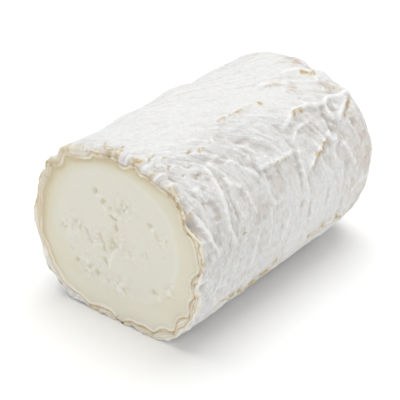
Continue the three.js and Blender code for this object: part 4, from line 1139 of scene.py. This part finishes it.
def rind_values(log, along, angle, relief, bare, white, inset, cut):
    """Colour values of the rind: bare tan rind, height against the rind around it for painted shade
    in hollows and painted highlight on crests, and the pale parts of the cut."""
    turned = log.from_belly(angle)
    arc = turned * log.arc_step
    u, v = log.ragged(along, turned)
    for y, a, reach, reach_round, strength in TAN_PATCHES:
        spot = patch_distance(u, v, y, a, reach, reach_round)
        bare = np.maximum(bare, strength * np.exp(-spot))
    # Thin mould, and painted shade in the pocket by the cut, in a hollow of the far top and under
    # the ridge.
    thin_mould_and_shade = 0 * bare
    for y, a, reach, reach_round, strength in THIN_MOULD_AND_SHADE_PATCHES:
        spot = patch_distance(u, v, y, a, reach, reach_round)
        thin_mould_and_shade = np.maximum(thin_mould_and_shade, strength * bell(spot, 1.4))
    bay, strands, flush = log.bay(angle), log.strands(angle), log.flush(angle)
    ragged = 0.5 + 0.5 * field(arc / 2.2, 0.5, 51)
    past = along - log.shoulder(angle)[1]
    edge = (0.95 - 0.75 * bay) * bell(past / ragged)
    bare = np.maximum(bare, edge * (cut == 0))
    lip = log.lip_inset(angle)
    from_lip = inset - lip
    patchy = field(arc / 3.4, 5 * inset / lip, 52)
    skin = ramp(-SKIN_LINE + 0.1, -SKIN_LINE - 0.15, from_lip)
    wander = log.strand_wander(arc)
    between = sum(bell((inset / lip - t - 0.11 - wander) / 0.05) for t, _ in STRANDS)
    uneven = field(arc / 3.2, 0.5, 55)
    top = log.top(angle)
    lip_line = (1 - 0.9 * flush) * (1 - 0.8 * top * ramp(0.3, -0.2, uneven))
    lip_line = lip_line * bell(np.minimum(from_lip, 0) / 0.3)
    tan_line = (0.3 + 0.35 * ramp(-0.6, 0.5, uneven)) * (1 - flush) * (1 - 0.6 * top)
    tan_line = tan_line * bell((from_lip + TAN_LINE) / TAN_LINE_WIDTH)
    pale = 0.42 + 0.3 * patchy + 0.55 * lip_line - tan_line
    pale = pale + skin * (0.55 + 0.2 * patchy - 0.8 * strands * between - 0.4 * flush)
    spots = 0 * pale
    for a, away, half, across, strength in RIM_SPOTS:
        place = inset + 0.3 * patchy
        spot = patch_distance(turn_between(angle, a), place, 0, away, half, across)
        spots = np.maximum(spots, strength * np.exp(-spot))
    bare = np.maximum(bare, spots * (cut > 0))
    cut = (cut > 0) * np.maximum(1 - skin, np.maximum(0.8 * strands, flush))
    # Painted shade and highlight: height is low where the rind lies below the rind around it, and
    # crest is high on the crests and on the folds' highlight lines.
    height = 0.5 + (relief - blurred(relief, 5, 5)) / 1.1
    crest = 0.5 + (relief - blurred(relief, 2, 3)) / 0.6 + 0.22 * white
    return {
        "bare": bare,
        "thin_mould_and_shade": thin_mould_and_shade,
        "cut": cut,
        "pale": pale * (cut > 0),
        "height": height,
        "crest": crest,
        # How strongly the fine wrinkles show: their bumps, their painted shade and the painted
        # highlight on the crests; less on the smooth top and on the lower side away from the cut.
        "wear_and_painted_light": log.calm(along, turned) * (1 - 0.6 * ramp(40, 0, turned) * ramp(20, 50, along)),
        "flow": log.flow(along, turned) / PLACE_RANGE,
        "around": (turned - BELLY + 0 * along) * log.arc_step / PLACE_RANGE,
    }


# Rows of the paste, from the middle of its cut face out to the rind, and back behind it.
PASTE_STEP, PASTE_EDGE_STEP, PASTE_FINE_REACH = 0.34, 0.16, 3
PASTE_BACK = 4.2
BACK_ROWS = 4
GROOVE_WIDTH = 1.1


def paste_grid(log, columns):
    """Points of the paste as a grid of rows and columns, and its colour values."""
    angle = column_angles(columns)
    lip = log.lip_inset(angle)
    reach = log.section(angle) + log.rim(angle) - lip - FOOT_WIDTH + TUCK
    shares, r = [], 0.0
    while r < log.radius:
        shares.append(r / log.radius)
        coarse = min((log.radius - r) / PASTE_FINE_REACH, 1)
        r += PASTE_EDGE_STEP + (PASTE_STEP - PASTE_EDGE_STEP) * coarse
    shares = np.array([*shares, 1.0])[:, None]
    x = shares * reach * np.cos(angle * RAD)
    up = shares * reach * np.sin(angle * RAD)
    inner = (1 - shares) * reach
    depth, values = paste_surface(log, x, up, inner)
    z = np.maximum(up + log.middle, 0)
    front = np.stack([x, log.cut_at(x, z) + depth, z], -1)
    rows = [*front]
    for i in range(1, BACK_ROWS + 1):
        rows.append(front[-1] + (0, (PASTE_BACK - log.groove) * i / BACK_ROWS, 0))
    hub = np.array([0, PASTE_BACK, log.middle])
    edge = rows[-1]
    for i in range(1, BACK_ROWS + 1):
        rows.append(edge + (hub - edge) * i / BACK_ROWS)
    points = np.stack(rows)
    missing = len(points) - len(front)
    return points, {k: np.pad(v, ((0, missing), (0, 0)), mode="edge") for k, v in values.items()}


def paste_surface(log, x, up, inner):
    """Depth of the paste behind the knife's plane, and its colour values."""
    depth = 0.12 * field(x / 6, up / 6, 61) + 0.05 * field(x / 2, up / 2, 62)
    depth = depth + log.groove * bell(inner / GROOVE_WIDTH)
    pit = np.zeros(x.shape)
    pale = np.zeros(x.shape)
    u = x + 0.5 * field(x / 1.3, up / 1.3, 63) + 0.15 * field(x / 0.6, up / 0.6, 67)
    v = up + 0.5 * field(x / 1.3, up / 1.3, 64) + 0.15 * field(x / 0.6, up / 0.6, 68)
    for hx, hz, across, deep, tan in HOLES:
        away = np.hypot(u - hx, v - hz) / (across / 2)
        depth = depth + 0.6 * deep * bell(away, 3)
        pit = np.maximum(pit, tan * bell(away, 2.4))
    for width, deep, tan, path in CRACKS:
        nearest, _, place = path_distance(path, u, v)
        line = ramp(-0.05, 0.2, place) * ramp(1.05, 0.8, place)
        line = line * bell(nearest / (0.5 * width))
        depth = depth + deep * line
        pit = np.maximum(pit, tan * line)
        pale = np.maximum(pale, 0.6 * line * (deep < 0))
    for cx, cz, across, rise in PALE_CRUMBS:
        away = np.hypot(u - cx, v - cz) / (across / 2)
        depth = depth - rise * bell(away)
        pale = np.maximum(pale, 2 * rise * bell(away))
    grain = field(u / 0.8, v / 0.8, 65) + 0.6 * field(x / 0.45, up / 0.45, 66)
    for cx, cz, reach, rough in CRUMBS:
        near = np.exp(-(((x - cx) ** 2 + (up - cz) ** 2) / reach**2))
        depth = depth + 0.42 * rough * near * grain
        pit = np.maximum(pit, near * 1.3 * rough * ramp(0.2, 1.2, grain))
        pale = np.maximum(pale, near * 1.5 * rough * ramp(-0.2, -1, grain))
    cx, cz, half_width, half_height, soft = CORE
    out = np.hypot((x - cx) / half_width, (up - cz) / half_height)
    out = out + 0.03 * field(x / 4, up / 4, 69)
    pale = np.maximum(pale, 0.3 * ramp(-4, 10, x) * bell((out - 1) / 0.04))
    core = ramp(1 + soft, 1 - soft, out)
    angle = np.arctan2(up, x) / RAD
    from_edge = log.section(angle) - np.hypot(x, up)
    # The ring is strongest towards the upper left. Near the bottom it is weakened, which is painted
    # light: it lifts the shade that falls on the paste near the floor.
    low = bell(turn_between(angle, -95) / 35)
    ring_share = 0.68 + 0.36 * np.cos((angle - 140) * RAD) - 0.28 * low
    ring = ring_share * (0.92 * ramp(10, 2, from_edge) + 0.3 * bell(inner / GROOVE_WIDTH))
    # Painted light: the paste is made paler towards the bottom, to lift the shade that falls there
    # near the floor.
    pale = np.maximum(pale, 0.3 * ramp(-13, -20, up))
    return depth, {"ring": ring, "core": core, "pit": pit, "pale": pale}


def frame_shift(log):
    """From the log's own place to the frame's: the middle of its box goes to the CAD's."""
    points, _ = rind_grid(log, 180)
    box_middle = (points.min((0, 1)) + points.max((0, 1))) / 2
    wanted = (CAD_BOX[0] + CAD_BOX[1]) / 2 / MM
    return np.array([wanted.x - box_middle[0], wanted.y - box_middle[1], 0])


class CHEESE_OT_rind(bpy.types.Operator):
    """Model the wrinkled rind with its cut edge"""

    bl_idname = "cheese.rind"
    bl_label = "Rind"

    def execute(self, context):
        sizes = context.scene.cheese_sizes
        log = Log(sizes)
        points, values = rind_grid(log, sizes.columns)
        mesh = spun_blank("rind", len(points), sizes.columns)
        shape_blank(mesh, points, values, log.shift)
        finish_piece(mesh, "rind", rind_material(context.scene.cheese_colours))
        return {"FINISHED"}


class CHEESE_OT_paste(bpy.types.Operator):
    """Model the cut paste with its holes and cracks"""

    bl_idname = "cheese.paste"
    bl_label = "Paste"

    def execute(self, context):
        sizes = context.scene.cheese_sizes
        log = Log(sizes)
        points, values = paste_grid(log, sizes.columns)
        mesh = spun_blank("paste", len(points), sizes.columns)
        shape_blank(mesh, points, values, log.shift)
        finish_piece(mesh, "paste", paste_material(context.scene.cheese_colours))
        return {"FINISHED"}


FLOOR_REACH, FLOOR_DROP = 4, 0.0001
SKY_STRENGTH = 0.45
# The lamps: name, strength, colour, spread in degrees, and the way to the lamp.
LAMPS = [
    ("lamp overhead", 2.07, (0.985, 0.992, 1), 56, (-0.17, 0.25, 1)),
    ("lamp in front", 0.55, (1, 1, 1), 60, (0.6, -0.7, 0.5)),
]


def make_floor():
    bm = bmesh.new()
    bmesh.ops.create_grid(bm, x_segments=2, y_segments=2, size=FLOOR_REACH)
    bmesh.ops.translate(bm, verts=bm.verts, vec=(0, 0, -FLOOR_DROP))
    mesh = bpy.data.meshes.new("floor")
    bm.to_mesh(mesh)
    bm.free()
    n = Nodes("white floor")
    n.set(Base_Color=(0.97, 0.97, 0.97, 1), Roughness=0.9, Specular_IOR_Level=0.1)
    mesh.materials.append(n.material)
    floor = bpy.data.objects.new("floor", mesh)
    bpy.context.collection.objects.link(floor)


def make_light():
    world = bpy.data.worlds.new("soft white room")
    world.use_nodes = True
    background = world.node_tree.nodes["Background"]
    background.inputs["Color"].default_value = (1, 0.99, 0.962, 1)
    background.inputs["Strength"].default_value = SKY_STRENGTH
    bpy.context.scene.world = world
    for name, strength, colour, spread, way in LAMPS:
        light = bpy.data.lights.new(name, "SUN")
        light.energy = strength
        light.color = colour
        light.angle = spread * RAD
        lamp = bpy.data.objects.new(name, light)
        lamp.rotation_euler = Vector(way).to_track_quat("Z", "Y").to_euler()
        bpy.context.collection.objects.link(lamp)


def make_camera(log):
    middle = np.array([0, 0, log.middle]) + log.shift
    place = Vector((np.array(CAMERA_PLACE) + middle) * MM)
    aim = Vector((np.array(CAMERA_AIM) + middle) * MM)
    data = bpy.data.cameras.new("camera")
    data.lens = CAMERA_LENS
    data.sensor_width = SENSOR
    data.clip_start = 0.01
    camera = bpy.data.objects.new("camera", data)
    camera.location = place
    camera.rotation_euler = (place - aim).to_track_quat("Z", "Y").to_euler()
    bpy.context.collection.objects.link(camera)
    bpy.context.scene.camera = camera


class CHEESE_OT_stage(bpy.types.Operator):
    """Set the floor, the light and the camera"""

    bl_idname = "cheese.stage"
    bl_label = "Stage"

    def execute(self, context):
        make_floor()
        make_light()
        make_camera(Log(context.scene.cheese_sizes))
        context.scene.view_settings.view_transform = "Standard"
        return {"FINISHED"}


class CHEESE_PT_panel(bpy.types.Panel):
    bl_label = "Cheese"
    bl_space_type = "VIEW_3D"
    bl_region_type = "UI"
    bl_category = "Cheese"

    def draw(self, context):
        for name in ("cheese_sizes", "cheese_colours"):
            group = getattr(context.scene, name)
            box = self.layout.box()
            for key in group.__annotations__:
                box.prop(group, key)
        for operator in (CHEESE_OT_rind, CHEESE_OT_paste, CHEESE_OT_stage):
            self.layout.operator(operator.bl_idname)


CLASSES = (
    CheeseSizes,
    CheeseColours,
    CHEESE_OT_rind,
    CHEESE_OT_paste,
    CHEESE_OT_stage,
    CHEESE_PT_panel,
)


def register():
    for cls in CLASSES:
        bpy.utils.register_class(cls)
    bpy.types.Scene.cheese_sizes = PointerProperty(type=CheeseSizes)
    bpy.types.Scene.cheese_colours = PointerProperty(type=CheeseColours)


def unregister():
    del bpy.types.Scene.cheese_colours
    del bpy.types.Scene.cheese_sizes
    for cls in reversed(CLASSES):
        bpy.utils.unregister_class(cls)


def main():
    register()
    bpy.ops.cheese.rind()
    bpy.ops.cheese.paste()
    bpy.ops.cheese.stage()


if __name__ == "__main__":
    main()
